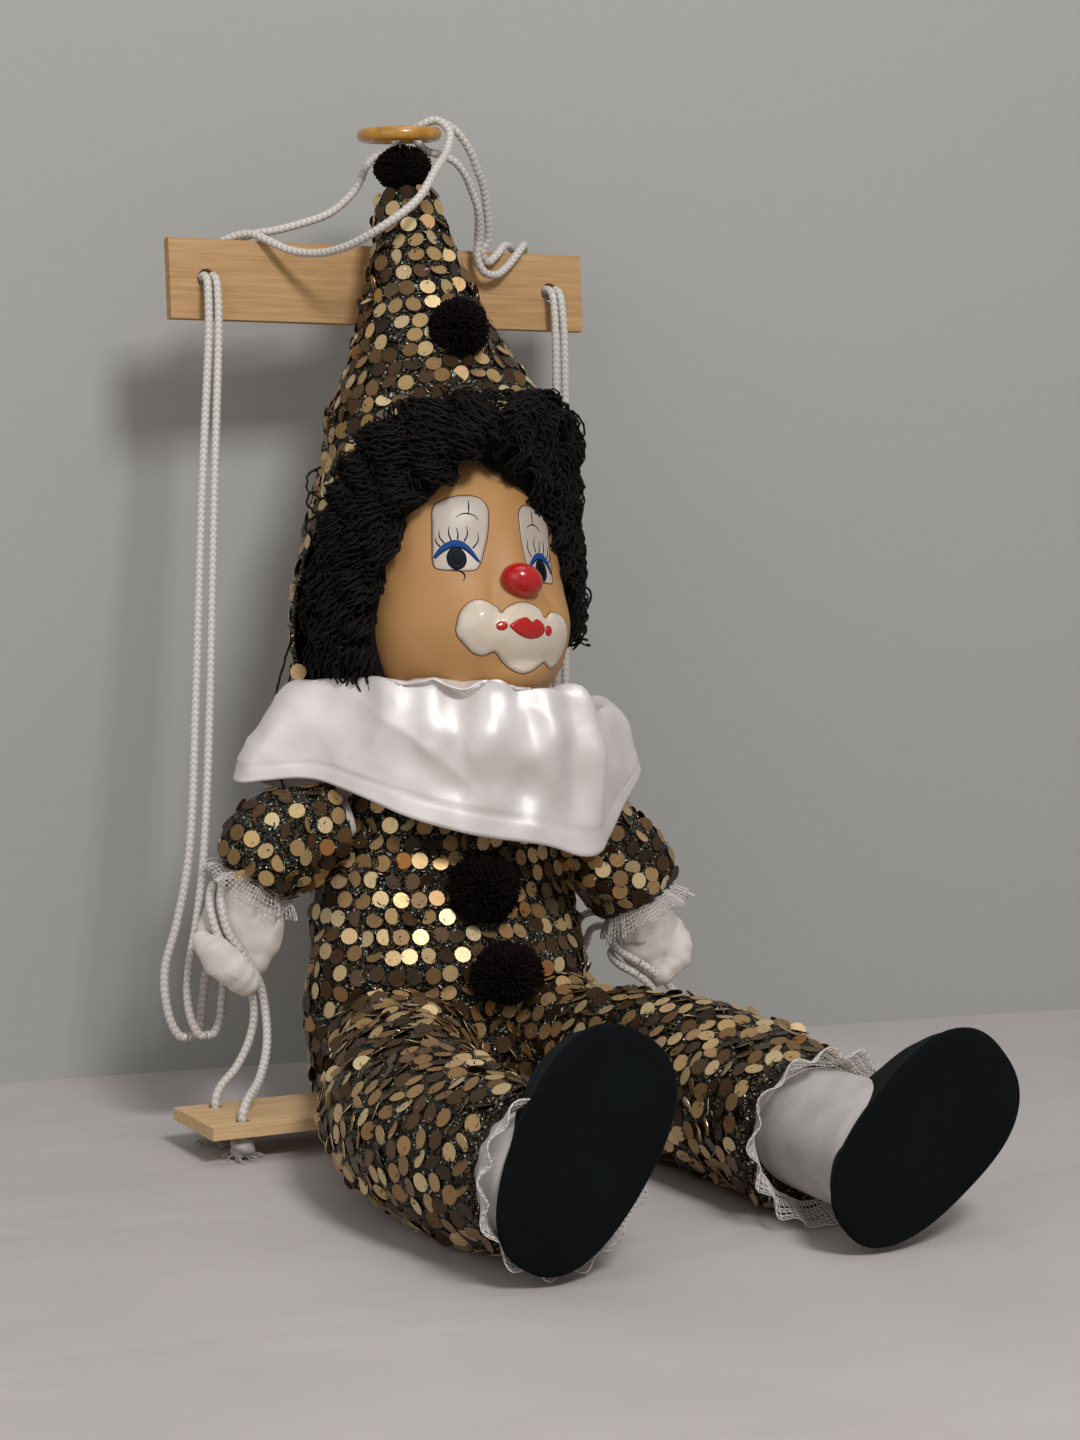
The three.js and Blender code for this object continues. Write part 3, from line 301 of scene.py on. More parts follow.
# ---------- materials ----------
def makeMaterials():
    kit = {}
    # metallised film discs, punched flat: mirror-like with a slight haze, bronze to pale gold; the spread from dark to
    # bright between discs is partly their own tone and partly painted reflection
    m, t, s = newMaterial("sequinFilm", "c0a068", 0.34, 0.62)
    uv = addNode(t, "TexCoord")
    parts = addNode(t, "SeparateXYZ", None, Vector=uv.outputs["UV"])
    # a random tone for each disc, from dark bronze to pale gold: partly the film's own tone, partly painted reflection
    tone = ramp(t, parts.outputs["X"], (0.0, "2e2216"), (0.28, "5d452c"), (0.5, "9a794f"), (0.72, "c8a875"),
                (0.92, "e6d1a3"), (1.0, "a0662c"))
    t.links.new(tone, s.inputs["Base Color"])
    worn = addNode(t, "TexNoise", {"Scale": 900.0, "Detail": 3.0}, Vector=uv.outputs["Object"])
    haze = addNode(t, "MapRange", {"From Min": 0.3, "From Max": 0.7, "To Min": 0.26, "To Max": 0.44}, Value=worn.outputs["Fac"])
    t.links.new(haze.outputs["Result"], s.inputs["Roughness"])
    kit["sequin"] = m
    # black warp knit with flat metallic tinsel laid through it
    m, t, s = newMaterial("glitterKnit", "15120f", 0.6, 0.0)
    uv = addNode(t, "TexCoord")
    cells = addNode(t, "TexVoronoi", {"Scale": 1500.0, "Randomness": 1.0}, Vector=uv.outputs["Object"])
    tint = ramp(t, addNode(t, "SeparateColor", None, Color=cells.outputs["Color"]).outputs["Red"],
                (0.0, "070605"), (0.5, "0d0b09"), (0.6, "3a2e1b"), (0.7, "15110c"), (0.8, "6f5c36"), (0.88, "0c0a08"),
                (0.95, "1a2a22"), (0.98, "c9c4b0"), (1.0, "6fae95"))
    t.links.new(tint, s.inputs["Base Color"])
    shine = addNode(t, "MapRange", {"From Min": 0.4, "From Max": 0.6, "To Min": 0.0, "To Max": 0.85},
                    Value=addNode(t, "SeparateColor", None, Color=cells.outputs["Color"]).outputs["Green"])
    t.links.new(shine.outputs["Result"], s.inputs["Metallic"])
    s.inputs["Roughness"].default_value = 0.38
    bump(t, s, cells.outputs["Distance"], 0.9, 0.0006)
    kit["knit"] = m
    # flat tinsel yarn, bright and slightly opal
    m, t, s = newMaterial("tinselYarn", "8f8465", 0.25, 0.85)
    uv = addNode(t, "TexCoord")
    tone = ramp(t, addNode(t, "SeparateXYZ", None, Vector=uv.outputs["UV"]).outputs["X"],
                (0.0, "0c0a08"), (0.5, "1d1710"), (0.72, "4f4128"), (0.86, "9c8a5e"), (0.92, "7fb39d"), (0.96, "b98ca6"), (1.0, "efe9da"))
    t.links.new(tone, s.inputs["Base Color"])
    kit["tinsel"] = m
    # polyester satin: fine twill lines and long soft highlights
    m, t, s = newMaterial("polyesterSatin", "dcd6d3", 0.44, 0.3, Sheen_Weight=0.15, Sheen_Roughness=0.4, Specular_IOR_Level=0.5)
    uv = addNode(t, "TexCoord")
    turned = addNode(t, "Mapping", {"Rotation": (0, 0, math.radians(38))}, Vector=uv.outputs["UV"])
    weave = addNode(t, "TexWave", {"Scale": 120.0, "Distortion": 0.4, "Detail": 1.0}, Vector=turned.outputs["Vector"])
    creases = addNode(t, "TexNoise", {"Scale": 190.0, "Detail": 4.0, "Roughness": 0.6}, Vector=uv.outputs["Object"])
    bump(t, s, addNode(t, "Math", {"operation": "MULTIPLY_ADD", 1: 6.0}, v0=creases.outputs["Fac"],
                       v2=weave.outputs["Fac"]).outputs["Value"], 0.12, 0.0003)
    blotch = addNode(t, "TexNoise", {"Scale": 60.0, "Detail": 3.0}, Vector=uv.outputs["Object"])
    t.links.new(ramp(t, blotch.outputs["Fac"], (0.3, "d6cfcc"), (0.7, "e4dddb")), s.inputs["Base Color"])
    kit["satin"] = m
    # brushed cotton flannelette with a short nap; the ankle copy is the same cloth in darker tones, painted shade on
    # the ankles
    for key, name, low, high in (("flannel", "brushedCotton", "c4b9b2", "d8cec7"), ("ankle", "brushedCottonAnkleShade", "a09a96", "b2aca8")):
        m, t, s = newMaterial(name, high, 0.95, 0.0, Sheen_Weight=0.25, Sheen_Roughness=0.6)
        uv = addNode(t, "TexCoord")
        nap = addNode(t, "TexNoise", {"Scale": 1400.0, "Detail": 4.0}, Vector=uv.outputs["Object"])
        soil = addNode(t, "TexNoise", {"Scale": 90.0, "Detail": 2.0}, Vector=uv.outputs["Object"])
        t.links.new(ramp(t, soil.outputs["Fac"], (0.3, low), (0.65, high)), s.inputs["Base Color"])
        bump(t, s, nap.outputs["Fac"], 0.5, 0.0004)
        kit[key] = m
    # crimped acrylic yarn, almost black with brown in the light
    m, t, s = newMaterial("crimpedYarn", "0c0707", 0.75, 0.0, Specular_IOR_Level=0.22)
    uv = addNode(t, "TexCoord")
    shade = addNode(t, "TexNoise", {"Scale": 260.0, "Detail": 3.0}, Vector=uv.outputs["Object"])
    t.links.new(ramp(t, shade.outputs["Fac"], (0.3, "050303"), (0.55, "0c0707"), (0.75, "1a100d")), s.inputs["Base Color"])
    fibre = addNode(t, "TexNoise", {"Scale": 2600.0, "Detail": 2.0}, Vector=uv.outputs["Object"])
    bump(t, s, fibre.outputs["Fac"], 0.6, 0.0003)
    kit["yarn"] = m
    # clipped acrylic pile
    m, t, s = newMaterial("clippedPile", "0a0505", 0.9, 0.0, Specular_IOR_Level=0.12)
    uv = addNode(t, "TexCoord")
    tone = ramp(t, addNode(t, "SeparateXYZ", None, Vector=uv.outputs["UV"]).outputs["X"], (0.0, "050202"), (0.6, "0d0605"), (1.0, "1d0e0a"))
    t.links.new(tone, s.inputs["Base Color"])
    kit["pile"] = m
    # painted bisque-look shell: matt flesh glaze over a smooth cast
    m, t, s = newMaterial("fleshGlaze", "b08352", 0.5, 0.0, Specular_IOR_Level=0.35)
    uv = addNode(t, "TexCoord")
    wash = addNode(t, "TexNoise", {"Scale": 22.0, "Detail": 3.0}, Vector=uv.outputs["Object"])
    t.links.new(ramp(t, wash.outputs["Fac"], (0.3, "a97c49"), (0.55, "b38553"), (0.75, "bd915d")), s.inputs["Base Color"])
    grain = addNode(t, "TexNoise", {"Scale": 700.0, "Detail": 3.0}, Vector=uv.outputs["Object"])
    bump(t, s, grain.outputs["Fac"], 0.08, 0.0003)
    kit["flesh"] = m
    # gloss enamels, brushed on over the glaze; the pale glint colour is a painted highlight in the eyes
    for key, name, code, rough in (("creamPaint", "creamEnamel", "cfc1ae", 0.18), ("whitePaint", "whiteEnamel", "b6a99d", 0.4),
                                   ("redPaint", "redEnamel", "ad1512", 0.22), ("bluePaint", "blueEnamel", "1a4380", 0.5),
                                   ("darkPaint", "darkEnamel", "070a0e", 0.5), ("irisPaint", "irisEnamel", "08141f", 0.45),
                                   ("linePaint", "fineBrownLine", "5d3322", 0.6), ("brownWash", "thinBrownWash", "5e4327", 0.5),
                                   ("glintPaint", "eyeGlintHighlight", "cfd8dc", 0.4)):
        m, t, s = newMaterial(name, code, rough, 0.0, Coat_Weight=0.25 if rough < 0.3 else 0.0, Coat_Roughness=0.12,
                              Specular_IOR_Level=0.08 if key in ("darkPaint", "irisPaint", "bluePaint") else 0.5)
        uv = addNode(t, "TexCoord")
        strokes = addNode(t, "TexNoise", {"Scale": 160.0, "Detail": 3.0}, Vector=uv.outputs["Object"])
        bump(t, s, strokes.outputs["Fac"], 0.1, 0.0003)
        kit[key] = m
    # narrow cotton and nylon lace
    m, t, s = newMaterial("nylonLace", "cfc9c4", 0.7, 0.0, Sheen_Weight=0.15)
    uv = addNode(t, "TexCoord")
    thread = addNode(t, "TexNoise", {"Scale": 2200.0, "Detail": 2.0}, Vector=uv.outputs["Object"])
    bump(t, s, thread.outputs["Fac"], 0.5, 0.0002)
    kit["lace"] = m
    # cotton velveteen: very dark, with a faint cool bloom where the pile turns
    m, t, s = newMaterial("velveteen", "070a0b", 0.95, 0.0, Sheen_Weight=0.06, Sheen_Roughness=0.4, Specular_IOR_Level=0.12)
    s.inputs["Sheen Tint"].default_value = linear("5c7480")
    uv = addNode(t, "TexCoord")
    pileWay = addNode(t, "TexNoise", {"Scale": 45.0, "Detail": 5.0, "Roughness": 0.65}, Vector=uv.outputs["Object"])
    t.links.new(ramp(t, pileWay.outputs["Fac"], (0.3, "040607"), (0.6, "080c0e"), (0.8, "0f1619")), s.inputs["Base Color"])
    pile = addNode(t, "TexNoise", {"Scale": 1500.0, "Detail": 3.0}, Vector=uv.outputs["Object"])
    bump(t, s, pile.outputs["Fac"], 0.6, 0.0004)
    kit["velveteen"] = m
    # sanded birch or poplar ply: long pale figure along the board, plies on its edges
    for key, name, tones in (("plywood", "sandedPlywood", ("a07a4d", "b18a5b", "bd986a")),
                             ("board", "palePlywood", ("bd9b6e", "cba97c", "d6b68d"))):
        m, t, s = newMaterial(name, tones[1], 0.65)
        uv = addNode(t, "TexCoord")
        long = addNode(t, "Mapping", {"Scale": (14.0, 90.0, 260.0)}, Vector=uv.outputs["Object"])
        figure = addNode(t, "TexNoise", {"Scale": 3.0, "Detail": 5.0, "Roughness": 0.6}, Vector=long.outputs["Vector"])
        t.links.new(ramp(t, figure.outputs["Fac"], *zip((0.28, 0.5, 0.72), tones)), s.inputs["Base Color"])
        fine = addNode(t, "Mapping", {"Scale": (60.0, 700.0, 1500.0)}, Vector=uv.outputs["Object"])
        pores = addNode(t, "TexNoise", {"Scale": 2.0, "Detail": 3.0}, Vector=fine.outputs["Vector"])
        bump(t, s, pores.outputs["Fac"], 0.25, 0.0003)
        kit[key] = m
    # turned hardwood ring under amber varnish
    m, t, s = newMaterial("amberVarnishedWood", "c98a1e", 0.3, 0.0, Coat_Weight=0.7, Coat_Roughness=0.12)
    uv = addNode(t, "TexCoord")
    figure = addNode(t, "TexNoise", {"Scale": 220.0, "Detail": 4.0}, Vector=uv.outputs["Object"])
    t.links.new(ramp(t, figure.outputs["Fac"], (0.3, "9d6a1a"), (0.6, "b7832b"), (0.8, "c39640")), s.inputs["Base Color"])
    kit["varnish"] = m
    # braided nylon: each plait catches the light; the colour is darker in the grooves between the plaits, painted shade
    m, t, s = newMaterial("braidedNylon", "d8d3cf", 0.5, 0.0, Sheen_Weight=0.4, Sheen_Roughness=0.4)
    uv = addNode(t, "TexCoord")
    lay = addNode(t, "SeparateXYZ", Vector=uv.outputs["UV"])
    columns = addNode(t, "Math", {"operation": "MULTIPLY", 1: 4.0}, v0=lay.outputs["X"])
    slant = addNode(t, "Math", {"operation": "PINGPONG", 1: 0.5}, v0=columns.outputs[0])
    rows = addNode(t, "Math", {"operation": "MULTIPLY_ADD", 1: 1 / 2.1}, v0=lay.outputs["Y"], v2=slant.outputs[0])
    plait = addNode(t, "Math", {"operation": "PINGPONG", 1: 0.5}, v0=rows.outputs[0])
    # darker in the grooves between the plaits: painted shade
    t.links.new(ramp(t, plait.outputs[0], (0.0, "a39d97"), (0.14, "bdb7b1"), (0.32, "cfc9c3")), s.inputs["Base Color"])
    bump(t, s, plait.outputs[0], 0.7, 0.0005)
    kit["nylon"] = m
    # clear monofilament
    m, t, s = newMaterial("nylonThread", "d9d6d0", 0.3, 0.0, Coat_Weight=0.3)
    uv = addNode(t, "TexCoord")
    glint = addNode(t, "TexNoise", {"Scale": 300.0}, Vector=uv.outputs["Object"])
    t.links.new(ramp(t, glint.outputs["Fac"], (0.3, "bdbab4"), (0.7, "ece9e4")), s.inputs["Base Color"])
    kit["thread"] = m
    return kit


kit = makeMaterials()
print("materials made")


# ---------- camera, floor, wall and lamps ----------
view = {"camera": (-424.2, -881.7, 212.0), "pitch": 85.63, "turn": -28.0, "lens": 70.0, "wall": (88.2, 84.0, 1500.0), "wallTurn": -8.0}


def makeStage():
    camera = bpy.data.objects.new("camera", bpy.data.cameras.new("camera"))
    camera.data.sensor_fit = "VERTICAL"
    camera.data.sensor_height = 36.0
    camera.data.lens = view["lens"]
    camera.data.clip_start = 0.01
    camera.location = at(*view["camera"])
    camera.rotation_euler = (math.radians(view["pitch"]), 0, math.radians(view["turn"]))
    bpy.context.scene.collection.objects.link(camera)
    bpy.context.scene.camera = camera
    bpy.context.scene.view_settings.view_transform = "Standard"
    world = bpy.data.worlds.new("softRoom")
    bpy.context.scene.world = world
    world.use_nodes = True
    world.node_tree.nodes["Background"].inputs["Color"].default_value = linear("ece9e6")
    world.node_tree.nodes["Background"].inputs["Strength"].default_value = 0.39
    turn = math.radians(view["turn"])
    away = Vector((-math.sin(turn), math.cos(turn), 0))
    right = Vector((math.cos(turn), math.sin(turn), 0))
    lamps = {"key": ((right * 0.45 - away * 1.15) + Vector((0, 0, 1.1)), 0.3, 14.0),
             "fill": ((right * -0.55 - away * 1.1) + Vector((0, 0, 0.5)), 0.9, 2.5),
             "top": (Vector((0.1, -0.1, 1.4)), 0.7, 2.4)}
    for name, (place, size, power) in lamps.items():
        lamp = bpy.data.lights.new(name, "AREA")
        lamp.size, lamp.energy = size, power
        holder = bpy.data.objects.new(name, lamp)
        holder.location = place
        holder.rotation_euler = (Vector((0, -0.05, 0.15)) - place).to_track_quat("-Z", "Y").to_euler()
        bpy.context.scene.collection.objects.link(holder)
    floorMaterial, t, s = newMaterial("greySheet", "b3adab", 0.95)
    uv = addNode(t, "TexCoord")
    mottle = addNode(t, "TexNoise", {"Scale": 9.0, "Detail": 4.0}, Vector=uv.outputs["Object"])
    t.links.new(ramp(t, mottle.outputs["Fac"], (0.3, "b0aaa9"), (0.7, "bab4b2")), s.inputs["Base Color"])
    stretched = addNode(t, "Mapping", {"Scale": (3.0, 7.0, 1.0), "Rotation": (0, 0, 0.7)}, Vector=uv.outputs["Object"])
    rumple = addNode(t, "TexNoise", {"Scale": 1.6, "Detail": 3.0, "Distortion": 1.2}, Vector=stretched.outputs["Vector"])
    bump(t, s, rumple.outputs["Fac"], 0.3, 0.008)
    bm = bmesh.new()
    bmesh.ops.create_grid(bm, x_segments=160, y_segments=160, size=1.4)
    for q in bm.verts:
        far = (q.co.to_2d() - Vector((0, -0.1))).length
        q.co.z = -0.0006 - 0.012 * smooth(0.3, 0.7, far) * (0.5 + 0.5 * noise.noise(q.co * 6))
    floor = bpy.data.objects.new("floor", meshOf(bm, "floor"))
    wallMaterial, t, s = newMaterial("greyWall", "a4a3a0", 0.9)
    uv = addNode(t, "TexCoord")
    mottle = addNode(t, "TexNoise", {"Scale": 260.0, "Detail": 3.0}, Vector=uv.outputs["Object"])
    bump(t, s, mottle.outputs["Fac"], 0.15, 0.001)
    # seen from behind, the wall lets the view through to the doll's back
    clear = addNode(t, "BsdfTransparent")
    oneSided = addNode(t, "MixShader", None, v0=addNode(t, "NewGeometry").outputs["Backfacing"], v1=s.outputs["BSDF"],
                       v2=clear.outputs["BSDF"])
    t.links.new(oneSided.outputs["Shader"], t.nodes["Material Output"].inputs["Surface"])
    bm = bmesh.new()
    bmesh.ops.create_grid(bm, x_segments=1, y_segments=1, size=2.2)
    bmesh.ops.rotate(bm, verts=bm.verts, cent=(0, 0, 0), matrix=Matrix.Rotation(pi / 2, 3, "X"))
    bmesh.ops.rotate(bm, verts=bm.verts, cent=(0, 0, 0), matrix=Matrix.Rotation(math.radians(view["wallTurn"]), 3, "Z"))
    bmesh.ops.translate(bm, verts=bm.verts, vec=at(*view["wall"]))
    wall = bpy.data.objects.new("wall", meshOf(bm, "wall"))
    for piece, material in ((floor, floorMaterial), (wall, wallMaterial)):
        piece.data.materials.append(material)
        bpy.context.scene.collection.objects.link(piece)
        piece.data.polygons.foreach_set("use_smooth", [True] * len(piece.data.polygons))


makeStage()
print("stage made")


# ---------- cords ----------
cordSizes = {"diameter": 2.8, "sides": 16, "step": 0.5, "plait": 2.1, "relief": 0.07}
cordRoutes = {
    "ringCordRight": [
        (-67.6, 40.8, 290.46), (-67.6, 44.5, 289.5), (-67.2, 47.3, 291.5), (-65.5, 48.6, 296), (-60, 49, 301.5),
        (-54, 47, 305.8), (-48.3, 42, 307.2), (-45.4, 38, 305.6), (-38.2, 30, 301), (-31.2, 20, 299.5),
        (-25.2, 8, 301.5), (-17, -3, 307.8), (-5.8, -5, 316.6), (3.9, 0, 328.1), (12.1, 8, 336), (15, 12, 343),
        (12.2, 16.6, 347.3), (7, 20.5, 345.2), (3.5, 27, 341.5), (2.5, 37.5, 337.3), (-1.5, 38.5, 336.2),
        (-5, 38.5, 332.5), (-7.2, 39, 327.4), (-9.9, 40, 322.8), (-18.1, 41, 315.8), (-29.2, 42, 311.5),
        (-38.4, 43.5, 308.9), (-45.5, 46.8, 307.5), (-51, 51.5, 304.6), (-57.5, 52.8, 299.5), (-62.3, 51.8, 294.5),
        (-64.4, 47.8, 289.6), (-64.4, 44.5, 289.5), (-64.4, 40.8, 290.46)],
    "ringCordLeft": [
        (70.6, 40.8, 290.46), (70.6, 44.5, 289.5), (70.2, 47.3, 291.5), (68, 48.6, 296.5), (63.5, 49, 301.5),
        (58.5, 47.2, 305.8), (55, 43.5, 307.3), (50.5, 39.4, 306.9), (46, 36.4, 303.3), (42, 35.5, 300.5),
        (39.3, 34.5, 303.5), (40.8, 33, 308.2), (37.5, 28, 320.1), (34.7, 25, 326.4), (30.8, 22, 331.9),
        (27.1, 20, 337.8), (21, 19.5, 344.6), (14, 21.6, 347.9), (8.8, 24.5, 345), (8.6, 25, 341),
        (12.2, 24.4, 337.4), (17, 22.8, 336.2), (22, 21.5, 333.8), (26.1, 22, 329.6), (29.8, 24, 324.3),
        (33.2, 26, 318), (36, 31.5, 308), (36.2, 32.5, 301.5), (38.8, 32.3, 296.6), (44, 33.3, 295.8),
        (50, 35.6, 299.3), (56, 37.6, 305.2), (60.5, 42.6, 308), (63.8, 48.5, 306), (66.5, 52.5, 300.5),
        (68, 52.2, 294.5), (67.6, 48.3, 289.8), (67.4, 44.5, 289.5), (67.4, 40.8, 290.46)],
    "rightCordAUpper": [
        (-67.6, 40.4, 290.54), (-67.6, 36.7, 291.5), (-67.7, 33.4, 289.5), (-68, 31.8, 284), (-68.4, 30.6, 274),
        (-75, 22, 213), (-82, 11, 147), (-88, 3, 95), (-92.5, 3.2, 72), (-96.5, 4.5, 56), (-96.5, 4, 46),
        (-94.6, 3.4, 37.5), (-91.6, 2.9, 32.9), (-89.5, 2.6, 32.6)],
    "rightCordBUpper": [
        (-64.4, 40.4, 290.54), (-64.4, 36.7, 291.5), (-64.4, 33.4, 289.5), (-64.5, 31.8, 284), (-65, 30.2, 274),
        (-71, 20.5, 213), (-77.5, 9.5, 147), (-83.5, 1, 95), (-87, -0.5, 72), (-90, -0.8, 56), (-90.6, -1.2, 46),
        (-89.2, -1.6, 38.5), (-86.5, -1.8, 33.8), (-84.5, -2, 33.5)],
    "rightCordALoop": [
        (-89.15, 2.55, 32.6), (-87.1, 2.4, 32.9), (-84.9, 2.2, 36.5), (-84, 2.2, 43), (-82, 3.4, 54), (-78, 5.3, 64.5),
        (-79, 4.6, 75), (-81.4, -1.7, 84.4), (-86, -10.6, 78.8), (-85.1, -14.5, 70.5), (-81.3, -15.8, 63)],
    "rightCordBLoop": [
        (-84.15, -2.05, 33.5), (-82.1, -2.3, 33.8), (-79.6, -2.4, 38), (-78.5, -2, 45), (-76, 1.4, 54.5),
        (-72.9, 4.6, 63.5), (-74.4, 4.4, 74.5), (-78, -3.2, 86), (-83.3, -13.9, 80.5), (-82.4, -17.1, 71.5),
        (-78.2, -18.2, 64)],
    "rightCordALower": [
        (-81, -15.85, 62.7), (-76.6, -16.6, 57), (-73.6, -15.4, 51.5), (-71.8, -14, 42), (-73.5, -13.8, 33),
        (-79, -15, 24), (-85, -16.9, 19), (-87.3, -17.9, 15), (-87.5, -18, 11.5), (-87.5, -18, 8.1)],
    "rightCordBLower": [
        (-77.9, -18.2, 63.7), (-73.8, -18.6, 57.5), (-71, -17.8, 52), (-69.2, -18, 42), (-71, -23, 32),
        (-77.5, -32, 23), (-85, -39.8, 18), (-87.3, -41.8, 14.5), (-87.5, -42, 11.5), (-87.5, -42, 8.1)],
    "leftCordAUpper": [
        (70.6, 40.4, 290.54), (70.6, 36.7, 291.5), (70.6, 33.4, 289.5), (70.7, 31.8, 284), (70.9, 30.6, 274),
        (71, 29.5, 200), (70.8, 29.5, 120), (70.8, 29.5, 72), (71, 29, 58), (71.5, 27.2, 50), (71.9, 24.6, 46.6),
        (72, 22.6, 46.3)],
    "leftCordBUpper": [
        (67.4, 40.4, 290.54), (67.4, 36.7, 291.5), (67.4, 33.4, 289.5), (67.4, 31.8, 284), (67.3, 30.6, 274),
        (67, 29.5, 200), (66.8, 29.5, 120), (66.8, 29.5, 76), (66.9, 29, 64), (67.2, 27.2, 56.5), (67.5, 24.6, 53.1),
        (67.6, 22.6, 52.8)],
    "leftCordALoop": [
        (72.05, 22.25, 46.3), (72.2, 20.2, 46.6), (72.8, 17, 50.5), (73.2, 14, 56), (74.3, 6, 58.5), (74.3, -5.3, 54.5),
        (66.9, -12.4, 51.5), (66.2, -20.6, 48.4), (68.5, -24.5, 46.7), (70.3, -25.6, 45.4)],
    "leftCordBLoop": [
        (67.65, 22.25, 52.8), (67.9, 20.2, 53.1), (68.4, 17, 56.8), (69, 13, 61.5), (71.5, 5, 64), (73.4, -5.3, 59.5),
        (67.2, -12.5, 56), (66.3, -20.8, 53.2), (68.4, -25.5, 51.4), (70.3, -26.9, 50.1)],
    "leftCordALower": [
        (70.6, -25.8, 45.1), (72.5, -26.7, 43.6), (75.6, -26.8, 40.4), (78.8, -25.4, 36), (83, -22.5, 28),
        (86.6, -19, 19.5), (87.4, -18.1, 15), (87.5, -18, 11.5), (87.5, -18, 8.1)],
    "leftCordBLower": [
        (70.6, -27.1, 49.85), (72.8, -28.2, 48.3), (77, -29, 45), (84, -28.5, 38.5), (88.3, -31.5, 29),
        (88.2, -38.8, 20), (87.6, -41.8, 15), (87.5, -42, 11.5), (87.5, -42, 8.1)],
}


def nodeName(name):
    parts = "".join("_" + c.lower() if c.isupper() else c for c in name).replace("_a_", "_a_")
    return parts


def makeCord(name, route):
    path, length = evenly([at(*p) for p in route], cordSizes["step"] * mm)
    radius = cordSizes["diameter"] / 2 * mm
    rings, up = [], Vector((0.3, 0.2, 0.93)).normalized()
    for i, place in enumerate(path):
        along = (path[min(i + 1, len(path) - 1)] - path[max(i - 1, 0)]).normalized()
        up = (up - along * up.dot(along)).normalized()
        side = along.cross(up)
        ring, count = [], cordSizes["sides"]
        for k in range(count):
            turn = 2 * pi * k / count
            column, across = divmod(k / count * 4 + 0.5, 1.0)
            lean = across if int(column) % 2 == 0 else 1 - across
            phase = i * cordSizes["step"] / cordSizes["plait"] + lean * 0.9
            high = abs(math.sin(pi * phase)) ** 0.6 * (0.55 + 0.45 * math.sin(pi * across))
            r = radius * (1 - cordSizes["relief"] + 2 * cordSizes["relief"] * high)
            ring.append(place + (up * math.cos(turn) + side * math.sin(turn)) * r)
        rings.append(ring)
    piece = newObject(name, pullThrough(name, rings, True, length / mm), kit["nylon"], cordBody[name], nodeName(name))
    return piece, path, length


cordBody = {name: None if name.startswith("ring") or name.endswith("Upper") else "trunk" for name in cordRoutes}


def makeCords():
    for name, route in cordRoutes.items():
        piece, path, length = makeCord(name, route)
        isUpper, isRing = name.endswith("Upper"), name.startswith("ring")
        if isUpper:
            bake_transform(piece)
        elif isRing:
            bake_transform(piece)
    print("cords made")


# ---------- swing: board, bar, ring and knots ----------
def setMaterial(node, material, slotName):
    piece = bpy.data.objects[node]
    piece.data.materials.clear()
    piece.data.materials.append(material)
    return piece


ringSizes = {"centre": (1.5, 24.7, 342.4), "radius": 12.5, "section": 2.5, "tilt": (3, -3)}
knotSizes = {"height": 7.7, "radius": 4.4, "x": 87.5, "y": (-42, -18)}


